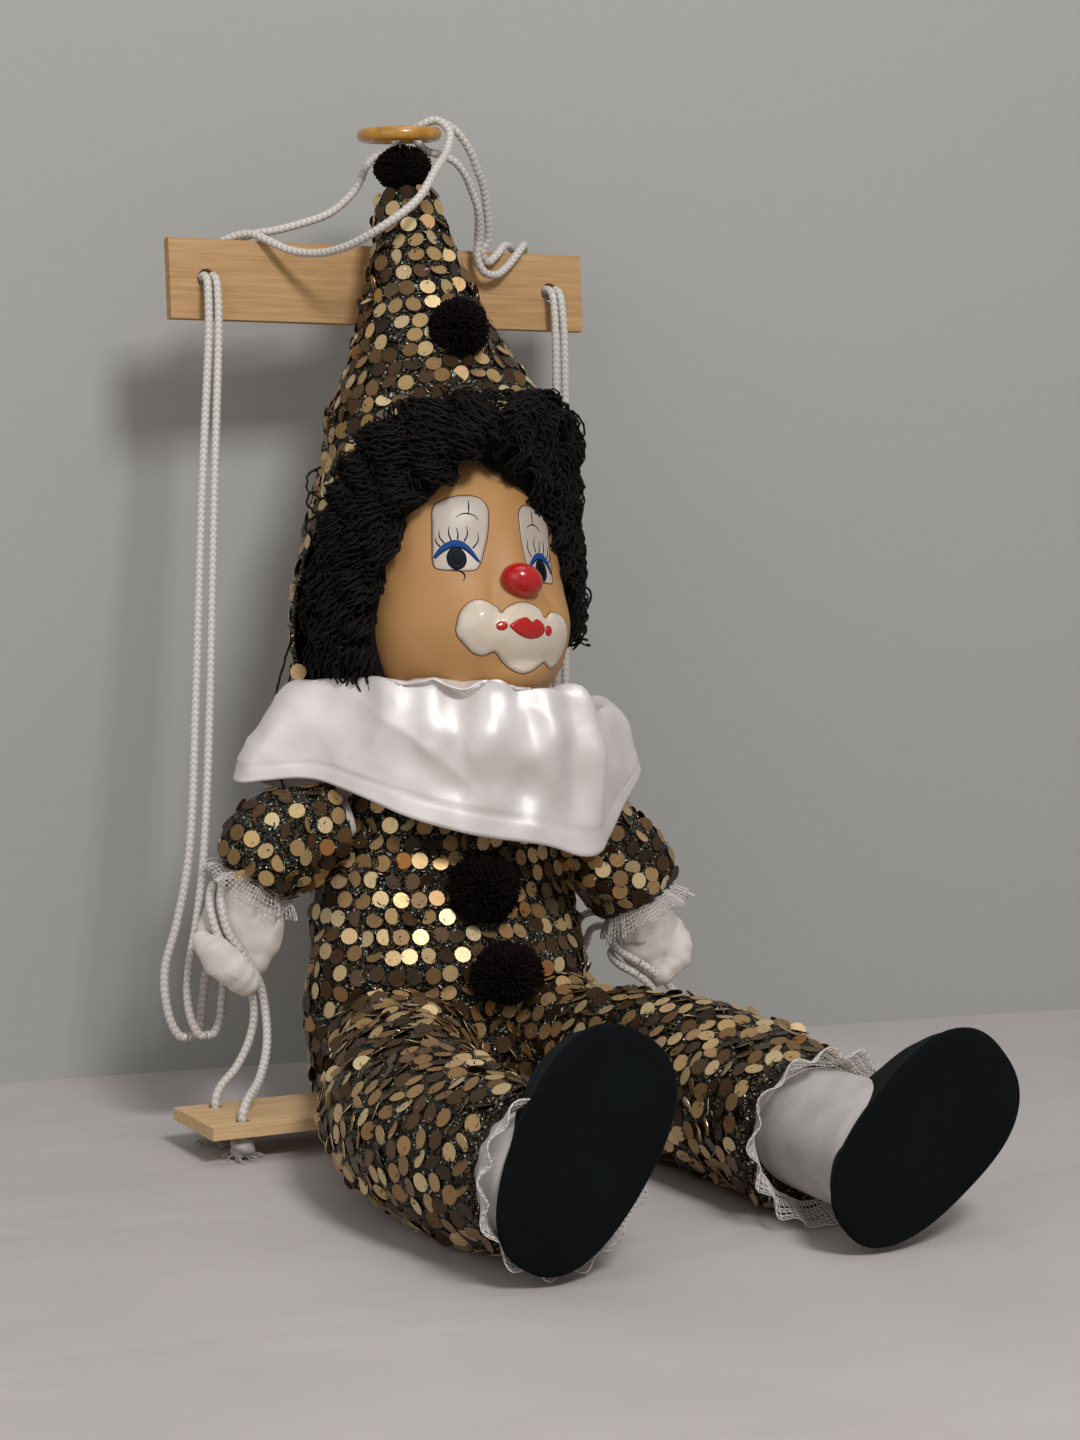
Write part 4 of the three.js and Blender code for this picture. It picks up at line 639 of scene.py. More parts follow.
def makeSwing():
    setMaterial("spreader_bar", kit["plywood"], "plywood")
    setMaterial("seat_plank", kit["board"], "plywood")
    bm = bmesh.new()
    circle = bmesh.ops.create_circle(bm, segments=20, radius=ringSizes["section"] * mm)["verts"]
    bmesh.ops.rotate(bm, verts=circle, cent=(0, 0, 0), matrix=Matrix.Rotation(pi / 2, 3, "X"))
    bmesh.ops.translate(bm, verts=circle, vec=at(ringSizes["radius"], 0, 0))
    bmesh.ops.spin(bm, geom=bm.verts[:] + bm.edges[:], cent=(0, 0, 0), axis=(0, 0, 1), angle=2 * pi, steps=72,
                   use_merge=True)
    bmesh.ops.remove_doubles(bm, verts=bm.verts, dist=1e-6)
    tilt = Matrix.Rotation(math.radians(ringSizes["tilt"][0]), 3, "X") @ Matrix.Rotation(
        math.radians(ringSizes["tilt"][1]), 3, "Y")
    bmesh.ops.rotate(bm, verts=bm.verts, cent=(0, 0, 0), matrix=tilt)
    bmesh.ops.translate(bm, verts=bm.verts, vec=at(*ringSizes["centre"]))
    bmesh.ops.recalc_face_normals(bm, faces=bm.faces)
    ring = newObject("hangingRing", meshOf(bm, "hangingRing"), kit["varnish"], "ring", "hanging_ring")
    rng = random.Random(5)
    for side, hand in ((-1, "right"), (1, "left")):
        for y, row in zip(knotSizes["y"], ("front", "back")):
            bm = bmesh.new()
            bmesh.ops.create_icosphere(bm, subdivisions=4, radius=1.0)
            for q in bm.verts:
                turn = math.atan2(q.co.y, q.co.x)
                lay = 1 + 0.1 * math.sin(2 * turn + 5 * q.co.z + side) + 0.05 * math.sin(14 * (turn * 0.4 + q.co.z * 1.6))
                q.co = Vector((q.co.x * knotSizes["radius"] * 0.93 * lay, q.co.y * knotSizes["radius"] * 0.93 * lay,
                               min(max(q.co.z * 3.7 * lay + 3.9, 0.05), knotSizes["height"] - 0.05))) * mm
            for _ in range(26):      # frayed ends, lying on the cloth
                turn = rng.uniform(0, 2 * pi)
                reach = rng.uniform(2, 5)
                line = [Vector((2.5 * math.cos(turn), 2.5 * math.sin(turn), 1.4)),
                        Vector(((3 + reach * 0.5) * math.cos(turn + 0.15), (3 + reach * 0.5) * math.sin(turn + 0.15),
                                rng.uniform(0.4, 1.6))),
                        Vector(((3 + reach) * math.cos(turn + 0.4), (3 + reach) * math.sin(turn + 0.4), 0.3))]
                for a, b in zip(line, line[1:]):
                    way = b - a
                    made = bmesh.ops.create_cone(bm, cap_ends=True, segments=5, radius1=0.22 * mm, radius2=0.16 * mm,
                                                 depth=way.length * mm,
                                                 matrix=Matrix.Translation((a + b) / 2 * mm)
                                                 @ way.to_track_quat("Z", "Y").to_matrix().to_4x4())
            bmesh.ops.translate(bm, verts=bm.verts, vec=at(side * knotSizes["x"], y, 0))
            name = "seatKnot" + hand.capitalize() + row.capitalize()
            knot = newObject(name, meshOf(bm, name), kit["nylon"], "trunk", "seat_knot_" + hand + "_" + row)
    print("swing made")


# ---------- sequinned cloth ----------
sequinSizes = {"radius": 2.85, "pitch": 6.25, "row": 6.4, "thickness": 0.14, "sides": 12}


def sequinShape():
    bm = bmesh.new()
    bmesh.ops.create_circle(bm, cap_ends=True, segments=sequinSizes["sides"], radius=sequinSizes["radius"] * mm)
    made = bmesh.ops.extrude_face_region(bm, geom=bm.faces[:])["geom"]
    top = [g for g in made if isinstance(g, bmesh.types.BMVert)]
    bmesh.ops.translate(bm, verts=top, vec=at(0, 0, sequinSizes["thickness"]))
    bmesh.ops.recalc_face_normals(bm, faces=bm.faces)
    return meshOf(bm, "sequinShape")


def tinselShape():
    # a short bent strip of flat metal yarn
    bm = bmesh.new()
    bmesh.ops.create_grid(bm, x_segments=2, y_segments=1, size=0.5)
    for q in bm.verts:
        q.co = Vector((q.co.x * 2.6, q.co.y * 0.42, 0.5 - 1.6 * q.co.x * q.co.x)) * mm
    bmesh.ops.solidify(bm, geom=bm.faces[:], thickness=0.05 * mm)
    return meshOf(bm, "tinselShape")


disc = sequinShape()
strip = tinselShape()


def sew(name, tree, rings, body, seed, density=1.0, skip=None, offset=0.5, tinsel=2.6, standOff=0.5, tilt=19):
    # rows of discs over a skin, given by its rings of places, snapped to its finished mesh
    rng = random.Random(seed)
    rows, run = [rings[0]], 0.0
    centres = [sum((Vector(q) for q in ring), Vector()) / len(ring) for ring in rings]
    places, marks, strips, stripMarks = [], [], [], []

    def put(place, spread, into, tilts, scale, standing):
        spot, normal, face, gap = tree.find_nearest(place)
        if spot is None or (skip and skip(spot)):
            return False
        tangent = normal.orthogonal().normalized()
        tangent.rotate(Matrix.Rotation(rng.uniform(0, 2 * pi), 3, normal))
        lean = Matrix.Rotation(math.radians(rng.gauss(0, tilts)), 3, tangent)
        up = lean @ normal
        turn = up.to_track_quat("Z", "Y").to_matrix() @ Matrix.Rotation(rng.uniform(0, 2 * pi), 3, "Z")
        into.append(Matrix.Translation(spot + normal * standing) @ turn.to_4x4() @ Matrix.Scale(scale, 4))
        return True

    def walk(step, pitch, rowShift, jitter, action):
        travelled, nextRow, rowIndex = 0.0, step * 0.5, 0
        for a, b in zip(range(len(rings) - 1), range(1, len(rings))):
            gap = sum((Vector(rings[b][k]) - Vector(rings[a][k])).length for k in range(0, len(rings[a]), 4)) / len(
                range(0, len(rings[a]), 4))
            while nextRow <= travelled + gap and gap > 0:
                f = (nextRow - travelled) / gap
                loop = [Vector(rings[a][k]).lerp(Vector(rings[b][k]), f) for k in range(len(rings[a]))]
                lengths = [(loop[(k + 1) % len(loop)] - loop[k]).length for k in range(len(loop))]
                total = sum(lengths)
                count = max(3, round(total / pitch))
                shift = (rowIndex % 2) * rowShift
                k, passed = 0, 0.0
                for i in range(count):
                    target = ((i + shift) / count) % 1.0 * total
                    if target < passed:
                        k, passed = 0, 0.0
                    while passed + lengths[k] < target and k < len(loop) - 1:
                        passed += lengths[k]
                        k += 1
                    g = (target - passed) / max(lengths[k], 1e-9)
                    place = loop[k].lerp(loop[(k + 1) % len(loop)], g)
                    place += Vector([rng.uniform(-1, 1) for _ in range(3)]) * jitter
                    action(place)
                rowIndex += 1
                nextRow += step
            travelled += gap

    def sequin(place):
        if put(place, 0, places, tilt, 1.0, standOff * mm):
            marks.append((rng.random(), rng.random()))

    def glitter(place):
        if put(place, 0, strips, 40, rng.uniform(0.6, 1.2), 0.0):
            stripMarks.append((rng.random(), rng.random()))

    walk(sequinSizes["row"] * mm, sequinSizes["pitch"] * mm / density, offset, 0.75 * mm, sequin)
    if tinsel:
        walk(tinsel * mm, tinsel * mm, 0.5, 1.2 * mm, glitter)
    discs = copies(name + "Sequins", disc, places, kit["sequin"], body, marks=marks)
    discs.data.polygons.foreach_set("use_smooth", [False] * len(discs.data.polygons))
    pieces = [discs]
    if strips:
        sparkle = copies(name + "Tinsel", strip, strips, kit["tinsel"], body, marks=stripMarks)
        pieces.append(sparkle)
    return pieces


def treeOf(mesh):
    bm = bmesh.new()
    bm.from_mesh(mesh)
    tree = BVHTree.FromBMesh(bm)
    bm.free()
    return tree


# ---------- suit ----------
trunkStations = [   # height, half width, front, back, middle x, middle y
    (0, 37, 24, 24, 0, -8), (8, 45, 31, 29, 0, -11), (22, 50, 36, 33, 0, -15), (38, 52, 35, 34, 0, -17),
    (55, 51, 33, 34, 0, -16), (70, 49, 30, 32, 1, -12), (85, 46, 25, 27, 2, -9), (100, 42, 23, 23, 3, -9),
    (113, 36, 21, 20, 4, -11), (123, 25, 18, 17, 7, -14), (127, 19, 17, 16, 8, -16)]
plankSpace = {"front": -48.4, "back": -11.6, "top": 12.9}


def clothRipple(place, seed, size=1.0):
    # soft creases that run mostly across the cloth
    a = noise.noise(Vector((place.x * 18, place.y * 18, place.z * 60 + seed)))
    b = noise.noise(Vector((place.x * 70, place.y * 70, place.z * 90 + seed * 3)))
    return (a * 1.5 + b * 0.7) * size


def makeTrunk():
    count, steps = 120, 90
    rings = []
    for k in range(steps + 1):
        z, wide, front, back, x, y = splinePoint(trunkStations, k / steps)
        ring = oval(z, wide, front, back, x, y, count)
        for i, q in enumerate(ring):
            turn = 2 * pi * i / count
            out = Vector((math.cos(turn), math.sin(turn), 0))
            fold = clothRipple(q, 3.0) * smooth(0, 12, z) * (1 - 0.6 * smooth(100, 122, z))
            crease = -3.2 * math.exp(-((z - 49 - 3 * math.sin(turn * 3)) / 3.2) ** 2) * smooth(0.1, 0.7, -math.sin(turn))
            q += out * (fold + crease - 0.3) * mm
        rings.append(ring)
    bottom = [[Vector(q).lerp(at(0, -8, 0), f) for q in rings[0]] for f in (0.85, 0.6, 0.35, 0.12)]
    top = [[Vector(q).lerp(at(8, -16, 127), f) for q in rings[-1]] for f in (0.5,)]
    mesh = pullThrough("suitTrunk", bottom[::-1] + rings + top)
    for q in mesh.vertices:      # the cloth lies over the seat plank
        y, z = q.co.y / mm, q.co.z / mm
        if z < plankSpace["top"] and plankSpace["front"] < y < plankSpace["back"]:
            q.co.z = plankSpace["top"] * mm
        q.co.z = max(q.co.z, 0.0)
    suit = newObject("suitTrunk", mesh, kit["knit"], "trunk", "suit_trunk", "cloth_body")
    hidden = lambda q: (q.z < 13.5 * mm and plankSpace["front"] * mm < q.y < plankSpace["back"] * mm) or q.z < 1.5 * mm
    sew("suitTrunk", treeOf(mesh), rings, "trunk", 11, skip=hidden, offset=0.15)
    print("suit made")
    return suit


armPlan = {
    "right": {"line": [(-36, -12, 106), (-52, -10, 102), (-63, -9.5, 94), (-68.5, -8, 84), (-72, -8, 72)],
              "sleeve": [(-40, -11, 103), (-54, -10, 101), (-63, -10, 95), (-67.5, -8, 87)],
              "hand": (-75, -8.2, 67.5), "palm": (14.5, 9.5, 14.5),
              "thumb": [(-10.5, -9, -0.5), (-6, -13, -4), (-1, -14, -9), (4, -11.5, -13.5)], "knuckles": [(-82.5, -5.5, 67.5)],
              "thumbRadii": (3.8, 5.6, 6.2, 5.0), "seed": 21},
    "left": {"line": [(41, -13, 104), (56, -14, 97), (68, -16, 84), (75, -18, 70), (78, -18, 58)],
             "sleeve": [(45, -13, 101), (58, -14.5, 95), (69, -16, 83), (75, -18, 71)],
             "hand": (78, -17.7, 54.5), "palm": (11.5, 9.5, 14),
             "thumb": [(8, 3, 8), (11.5, -1, 3), (11.5, -6, -3.5), (6.5, -9, -9)], "knuckles": [], "thumbRadii": (4.0, 4.8, 4.8, 4.0), "seed": 31},
}
sleeveRadii = [15, 17.5, 18.5, 16.5]
legPlan = {
    "right": {"line": [(-24, -38, 27), (-46, -75, 27), (-63, -120, 26.5), (-69, -165, 26.5), (-65.5, -222, 27)],
              "trouser": [(-27, -36, 27), (-46, -75, 26), (-63, -120, 26), (-69, -165, 26.5), (-66.5, -207, 28.5)],
              "lace": (-66, -214, 28.5), "along": (0.08, -1, 0), "sole": (-60, -225, 36.4), "roll": 30, "seed": 41},
    "left": {"line": [(26, -38, 27), (34, -80, 27), (39, -125, 26.5), (38, -170, 26), (37.5, -236, 26)],
             "trouser": [(29, -36, 27), (34, -80, 26), (38.8, -124, 26), (37.5, -165, 25.5), (34, -190, 24.5)],
             "lace": (34.5, -197, 25.5), "along": (-0.05, -1, 0), "sole": (44.2, -238, 31.0), "roll": 50, "seed": 51},
}
trouserRadii = [24, 26, 26.5, 26, 24]
fistTurn = math.radians(-28)


def fistMatrix(hand):
    across = Vector((math.cos(fistTurn), math.sin(fistTurn), 0))
    away = Vector((-math.sin(fistTurn), math.cos(fistTurn), 0))
    m = Matrix((across, away, (0, 0, 1))).transposed().to_4x4()
    m.translation = at(*hand)
    return m


def makeSleeve(side, plan):
    def gather(turn, t):
        ends = math.exp(-t * 12) + math.exp(-(1 - t) * 9)
        pleats = 0.9 * math.sin(turn * 15 + 2 * math.sin(t * 7)) * ends
        return -1.0 - 3.2 * math.exp(-(1 - t) * 14) + pleats + 1.0 * math.sin(turn * 4 + t * 9 + plan["seed"])

    rings = limbRings(plan["sleeve"], sleeveRadii, 90, 44, gather)
    for ring in rings:
        for q in ring:
            q += Vector((0, 0, 1)) * clothRipple(q, plan["seed"], 0.4) * mm
    end = sum((Vector(q) for q in rings[-1]), Vector()) / 90
    inward = [[Vector(q).lerp(end, f) - (end - at(*plan["sleeve"][-2])).normalized() * d * mm for q in rings[-1]]
              for f, d in ((0.12, 0.4), (0.3, 1.5), (0.5, 3.5))]
    mesh = pullThrough("sleeve" + side.capitalize(), rings + inward)
    for q in mesh.vertices:      # the collar holds the sleeve's head down
        roof = 117.5 if side == "right" else 114.0
        q.co.z = min(q.co.z, roof * mm - max(0, q.co.z - roof * mm) * 0.1)
    sleeve = newObject("sleeve" + side.capitalize(), mesh, kit["knit"], None, "sleeve_" + side)
    pieces = [sleeve] + sew("sleeve" + side.capitalize(), treeOf(mesh), rings, None, plan["seed"] + 1)
    start, end = at(*plan["sleeve"][0]), at(*plan["sleeve"][1])
    for piece in pieces:
        tuple(start.lerp(end, 0.9))
        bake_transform(piece)


def makeTrouser(side, plan):
    def creases(turn, t):
        hem = math.exp(-(1 - t) * 16)
        bend = 1.6 * math.sin(t * 26 + 1.4 * math.sin(turn + plan["seed"])) * math.exp(-((t - 0.1) / 0.12) ** 2)
        return -0.7 + bend + 0.8 * math.sin(turn * 3 + t * 8) + hem * (1.0 * math.sin(turn * 17) - 1.0)

    rings = limbRings(plan["trouser"], trouserRadii, 110, 96, creases)
    for ring in rings:
        for q in ring:
            q += Vector((0, 0, 1)) * clothRipple(q, plan["seed"], 0.8) * mm
    end = sum((Vector(q) for q in rings[-1]), Vector()) / 110
    back = Vector((0, 1, 0))
    hem = [[Vector(q).lerp(end, f) + back * d * mm for q in rings[-1]] for f, d in ((0.06, 0.2), (0.16, 1.5), (0.28, 4.0))]
    mesh = pullThrough("trouser" + side.capitalize(), rings + hem)
    for q in mesh.vertices:
        q.co.z = max(q.co.z, 1.0 * mm)
        if q.co.z < plankSpace["top"] * mm and q.co.y > plankSpace["front"] * mm:
            q.co.z = plankSpace["top"] * mm
    trouser = newObject("trouser" + side.capitalize(), mesh, kit["knit"], None, "trouser_" + side)
    low = lambda q: q.z < 13.5 * mm and q.y > plankSpace["front"] * mm
    pieces = [trouser] + sew("trouser" + side.capitalize(), treeOf(mesh), rings, None, plan["seed"] + 1,
                             skip=low)
    start, end = at(*plan["trouser"][0]), at(*plan["trouser"][1])
    for piece in pieces:
        tuple(start.lerp(end, 0.8))
        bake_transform(piece)


# ---------- stuffed cloth ----------
def stuffed(name, blobs, voxel, material, body, *nodes, rounds=8, swell=0.0):
    # overlapping balls and sausages grown into one soft skin
    bm = bmesh.new()
    for centre, radii, matrix in blobs:
        bmesh.ops.create_icosphere(bm, subdivisions=3, radius=1.0,
                                   matrix=matrix @ Matrix.Translation(at(*centre)) @ Matrix.Diagonal(
                                       (*[r * mm for r in radii], 1.0)))
    piece = newObject(name, meshOf(bm, name), material, body, *nodes)
    grow = piece.modifiers.new("skin", "REMESH")
    grow.mode, grow.voxel_size = "VOXEL", voxel * mm
    soft = piece.modifiers.new("soften", "SMOOTH")
    soft.iterations, soft.factor = rounds, 0.5
    applied(piece)
    for q in piece.data.vertices:
        spot = q.co / mm
        ridge = 0.5 - abs(noise.noise(spot * 0.11)) * 2
        q.co += q.normal * (0.55 * noise.noise(spot * 0.16 + Vector((3, 0, 9))) + 0.5 * ridge) * mm
    piece.data.polygons.foreach_set("use_smooth", [True] * len(piece.data.polygons))
    return piece


def makeArm(side, plan):
    turn = fistMatrix(plan["hand"])
    px, py, pz = plan["palm"]
    blobs = [((1.5, 0, 3), (px, py, pz), turn), ((0.5, 0, 8), (px * 0.75, py * 0.9, pz * 0.62), turn),
             ((4, -1, -7), (px * 0.5, py * 0.75, pz * 0.6), turn)]
    blobs += [(place, (7, 6, 9), Matrix.Identity(4)) for place in plan["knuckles"]]
    palm = stuffed("hand" + side.capitalize(), blobs, 0.9, kit["flannel"], side + "_arm", "hand_" + side, rounds=14)
    line, radii = plan["thumb"], plan["thumbRadii"]
    blobs = [(tuple(splinePoint(line, t)), [float(splinePoint([[r] for r in radii], t)[0])] * 3, turn)
             for t in (0, 0.17, 0.34, 0.5, 0.67, 0.84, 1)]
    thumb = stuffed("thumb" + side.capitalize(), blobs, 0.6, kit["flannel"], side + "_arm", "thumb_" + side, rounds=6)
    rings = limbRings(plan["line"], [7.6, 8, 8, 8.6, 9.5], 40, 40,
                      lambda a, t: 0.5 * math.sin(a * 9 + t * 4) * smooth(0.55, 0.9, t))
    arm = newObject("arm" + side.capitalize(), pullThrough("arm" + side.capitalize(), rings), kit["flannel"],
                    side + "_arm", "arm_" + side)


shoeSizes = {"length": 73, "width": 45, "sole": 3.2, "depth": 30}
shoeStations = [   # depth behind the sole, length, width, shift towards the toe
    (3.4, 71.5, 43.5, 0), (5, 70.5, 42.3, 0.3), (9, 67, 39, 1.2), (13, 62.5, 36, 2.6), (18, 55, 32.5, 4), (23, 46, 28, 4),
    (27, 38, 24, 2), (30, 30, 20, -1)]
legRadii = [13.5, 14, 15.5, 18.5, 19.5]


def soleOutline(z, long, wide, shift, count, frame):
    ring = []
    for i in range(count):
        turn = 2 * pi * i / count
        c, s = math.cos(turn), math.sin(turn)
        c = math.copysign(abs(c) ** 0.8, c)
        s = math.copysign(abs(s) ** 0.8, s)
        ball = 1 + 0.1 * s
        ring.append(frame @ at(wide / 2 * ball * c * 0.98, long / 2 * s * 0.985 + shift, z))
    return ring


def makeLeg(side, plan):
    toe = Vector((math.sin(math.radians(plan["roll"])), 0, math.cos(math.radians(plan["roll"]))))
    inward = Vector((0, 1, 0))
    shoeFrame = Matrix((toe.cross(inward), toe, inward)).transposed().to_4x4()
    shoeFrame.translation = at(*plan["sole"])
    count = 96
    rings = [soleOutline(*splinePoint(shoeStations, k / 34), count, shoeFrame) for k in range(35)]
    last = sum((Vector(q) for q in rings[-1]), Vector()) / count
    rings += [[Vector(q).lerp(last, f) + inward * d * mm for q in rings[-1]] for f, d in ((0.15, 1.2), (0.4, 2.2), (0.7, 2.6))]
    for ring in rings:
        for i, q in enumerate(ring):
            turn = 2 * pi * i / count
            q += (q - last).normalized() * (0.5 * math.sin(turn * 7 + plan["seed"]) + 0.35 * math.sin(turn * 16)) * mm * 0.6
            q.z = max(q.z, 0.0)
    shoe = newObject("shoe" + side.capitalize(), pullThrough("shoe" + side.capitalize(), rings), kit["velveteen"],
                     side + "_leg", "shoe_" + side)
    levels = ((0.55, 0.0), (0.25, 0.75), (0.55, 0.88), (0.8, 0.95), (1.3, 0.985), (2.0, 1.0), (2.7, 1.0), (3.3, 0.985))
    rings = [soleOutline(z, shoeSizes["length"] * f if f else 1.0, shoeSizes["width"] * f if f else 1.0, 0, count, shoeFrame)
             for z, f in ((0.5, 0.02), (0.45, 0.2), (0.4, 0.4), (0.35, 0.6), (0.3, 0.78), (0.3, 0.9), (0.6, 0.965),
                          (1.2, 0.99), (2.0, 1.0), (2.8, 0.995), (3.3, 0.975))]
    for ring in rings:
        for q in ring:
            flow = noise.noise(Vector((q.x * 40, q.z * 40, plan["seed"])))
            q += Vector((0, flow * 0.35 * mm + 0.35 * mm, 0))
            q.z = max(q.z, 0.0)
    sole = newObject("sole" + side.capitalize(), pullThrough("sole" + side.capitalize(), rings), kit["velveteen"],
                     side + "_leg", "sole_" + side)
    rings = limbRings(plan["line"], legRadii, 48, 60, lambda a, t: 0.35 * math.sin(a * 5 + t * 20) * smooth(0.7, 0.9, t))
    stop = plan["sole"][1] + 3.6
    rings = [ring for ring in rings if sum(q.y for q in ring) / 48 > stop * mm]
    # the ankles take the darker copy of the cotton: painted shade
    leg = newObject("leg" + side.capitalize(), pullThrough("leg" + side.capitalize(), rings), kit["ankle"], side + "_leg",
                    "leg_" + side)
    for q in leg.data.vertices:
        q.co.z = max(q.co.z, 0.2 * mm)
    print("leg made", side)


# ---------- lace ----------
def makeLace(name, node, body, centre, along, inner, outer, length, waves, rows, seed, floorCut=False):
    # a gathered strip of open lace: bars, mesh and a scalloped edge, as threads
    cells = waves * 8
    along = Vector(along).normalized()
    side = along.orthogonal().normalized()
    rise = along.cross(side)
    rings = []
    for j in range(rows + 1):
        f = j / rows
        ring = []
        for i in range(cells):
            turn = 2 * pi * i / cells
            flow = math.sin(waves * turn + 0.8 * math.sin(turn * 3 + seed))
            r = inner + (outer - inner) * f + flow * (0.2 + 1.5 * f)
            scallop = 0.55 * abs(math.sin(i * pi / 4)) if j == rows else 0
            d = length * f * (1 + 0.12 * math.sin(turn * 2 + seed)) + scallop + 0.5 * f * math.cos(waves * turn + seed)
            ring.append(at(*centre) + (side * math.cos(turn) + rise * math.sin(turn)) * r * mm + along * d * mm)
        rings.append(ring)
    mesh = pullThrough(name, rings, False)
    bm = bmesh.new()
    bm.from_mesh(mesh)
    if floorCut:
        for q in bm.verts:
            q.co.z = max(q.co.z, 0.4 * mm)
    weights = {}
    for e in bm.edges:      # slant half the cells to make the net
        pass
    bmesh.ops.triangulate(bm, faces=[f for k, f in enumerate(bm.faces) if k % 2 == 0])
    bm.to_mesh(mesh)
    bm.free()
    piece = newObject(name, mesh, kit["lace"], body, node)
    wire = piece.modifiers.new("threads", "WIREFRAME")
    wire.thickness, wire.use_even_offset, wire.use_replace = 0.42 * mm, False, True
    applied(piece)
    piece.data.polygons.foreach_set("use_smooth", [True] * len(piece.data.polygons))
    return piece


def makeLaces():
    for side, plan in armPlan.items():
        cuff = Vector(plan["sleeve"][-1])
        along = (cuff - Vector(plan["sleeve"][-2])).normalized()
        makeLace("wristLace" + side.capitalize(), "wrist_lace_" + side, side + "_arm", cuff - along * 1.0, along, 11.5, 17.5,
                 7.0, 10, 6, plan["seed"])
    for side, plan in legPlan.items():
        along = Vector(plan["along"]).normalized()
        makeLace("ankleLace" + side.capitalize(), "ankle_lace_" + side, side + "_leg", Vector(plan["lace"]) - along * 4, along,
                 20.5, 26.5, 10.0, 13, 8, plan["seed"], True)
    print("lace made")


# ---------- collar ----------
collarHem = [(-70, -2, 118.5), (-50, -16, 120), (-28, -39, 109), (-8, -49.5, 102.5), (15, -56.5, 98.5), (36, -55, 93.5),
             (54, -40, 104), (72, -22, 121), (66, 6, 122), (46, 27, 112), (18, 34, 104), (-14, 36, 104), (-42, 28, 112),
             (-64, 14, 119)]
neck = at(9, -17, 138)
headPose = Matrix.Translation(neck) @ Matrix.Rotation(math.radians(10), 4, "Z") @ Matrix.Rotation(math.radians(-12), 4, "X")
headUp = (headPose.to_3x3() @ Vector((0, 0, 1))).normalized()


def closedPoint(points, t):
    n = len(points)
    x = (t % 1.0) * n
    i, f = int(x) % n, x - int(x)
    p = [np.array(points[(i + k) % n], float) for k in (-1, 0, 1, 2)]
    return Vector(0.5 * (2 * p[1] + (p[2] - p[0]) * f + (2 * p[0] - 5 * p[1] + 4 * p[2] - p[3]) * f * f
                         + (3 * p[1] - p[0] - 3 * p[2] + p[3]) * f ** 3))


collarSizes = {"neckRadius": 18.3, "neckTop": 138.5, "lean": 12, "crestStep": 0.4, "thickness": 0.7, "seam": 0.93}
collarPleats = [(0, 1.0), (38, 1.2), (74, 0.8), (112, 1.1), (150, 0.7), (185, 1.0), (205, -0.9), (222, 1.1), (240, -0.8), (262, 1.2),
                (282, -0.7), (305, 1.5), (330, 1.0)]   # direction from the neck in degrees, height of the fold


collarSwags = [(228, 0.5, 15, 0.13, -2.6), (204, 0.62, 13, 0.15, 1.6), (250, 0.7, 13, 0.13, 1.7), (268, 0.52, 9, 0.2, -1.6),
               (284, 0.62, 7, 0.26, 1.5), (298, 0.64, 6, 0.26, -1.8), (309, 0.66, 6, 0.26, 1.8),
               (186, 0.5, 9, 0.2, -1.3)]   # direction, step, spread of both, height


def collarSmooth(edge, step):
    # the satin rises from the neck to a fold round the chin and falls from there to the hem
    turn, reach = math.atan2(edge.y + 17, edge.x - 9), math.hypot(edge.y + 17, edge.x - 9)
    y = collarSizes["neckRadius"] * math.sin(turn)
    throat = Vector((9 + collarSizes["neckRadius"] * math.cos(turn), -17 + y,
                     collarSizes["neckTop"] - y * math.tan(math.radians(collarSizes["lean"]))))
    crest = 0.94 - 0.0038 * reach
    rise = min(step / collarSizes["crestStep"], 1)
    fall = max((step - collarSizes["crestStep"]) / (1 - collarSizes["crestStep"]), 0)
    q = throat.lerp(edge, crest * rise + (1 - crest) * fall ** 0.7)
    top = throat.z + (148 + 8 * math.cos(turn - math.radians(215)) - throat.z) * smooth(0, 1, rise)
    q.z = top - (top - edge.z) * fall ** 1.3
    return q


def collarPlace(t, step):
    edge = closedPoint(collarHem, t)
    q = collarSmooth(edge, step)
    along = (collarSmooth(edge, min(step + 0.02, 1)) - collarSmooth(edge, max(step - 0.02, 0))).normalized()
    outward = Vector((along.x, along.y, 0)).normalized()
    normal = (outward * -along.z + Vector((0, 0, math.hypot(along.x, along.y)))).normalized()
    turn = math.atan2(edge.y + 17, edge.x - 9)
    degrees = math.degrees(turn) % 360
    fold = 0.0
    for k, (place, size) in enumerate(collarPleats):
        drift = place + 26 * (step - 0.4) * math.sin(k * 2.3)
        gap = (degrees - drift + 180) % 360 - 180
        fold += size * math.exp(-(gap / (4.5 + 6 * step)) ** 2)
    for place, spot, wide, long, size in collarSwags:
        gap = (degrees - place + 180) % 360 - 180
        fold += size * math.exp(-(gap / wide) ** 2 - ((step - spot) / long) ** 2)
    soft = smooth(0.03, 0.25, step) * (1 - 0.5 * smooth(0.85, 1.0, step))
    rumple = 4.2 * noise.noise(q * 0.034 + Vector((0, 4, 0))) + 1.1 * noise.noise(q * 0.09 + Vector((3, 1, 7)))
    rumple += 0.55 * (0.5 - abs(noise.noise(Vector((degrees * 0.05, q.z * 0.03, q.x * 0.02)))) * 2)
    gather = 0.8 * math.sin(31 * turn + 2 * math.sin(5 * turn)) * math.exp(-step * 7) * smooth(0, 0.04, step)
    rumple += 0.9 * (0.5 - abs(noise.noise(Vector((q.x * 0.05 + q.z * 0.07, q.y * 0.05, q.z * 0.02 + 8)))) * 2)
    seam = -0.4 * math.exp(-((step - collarSizes["seam"]) / 0.008) ** 2) + 0.12 * smooth(0.94, 0.985, step)
    return q + normal * ((1.7 * fold + rumple - 0.6) * soft + gather + seam)


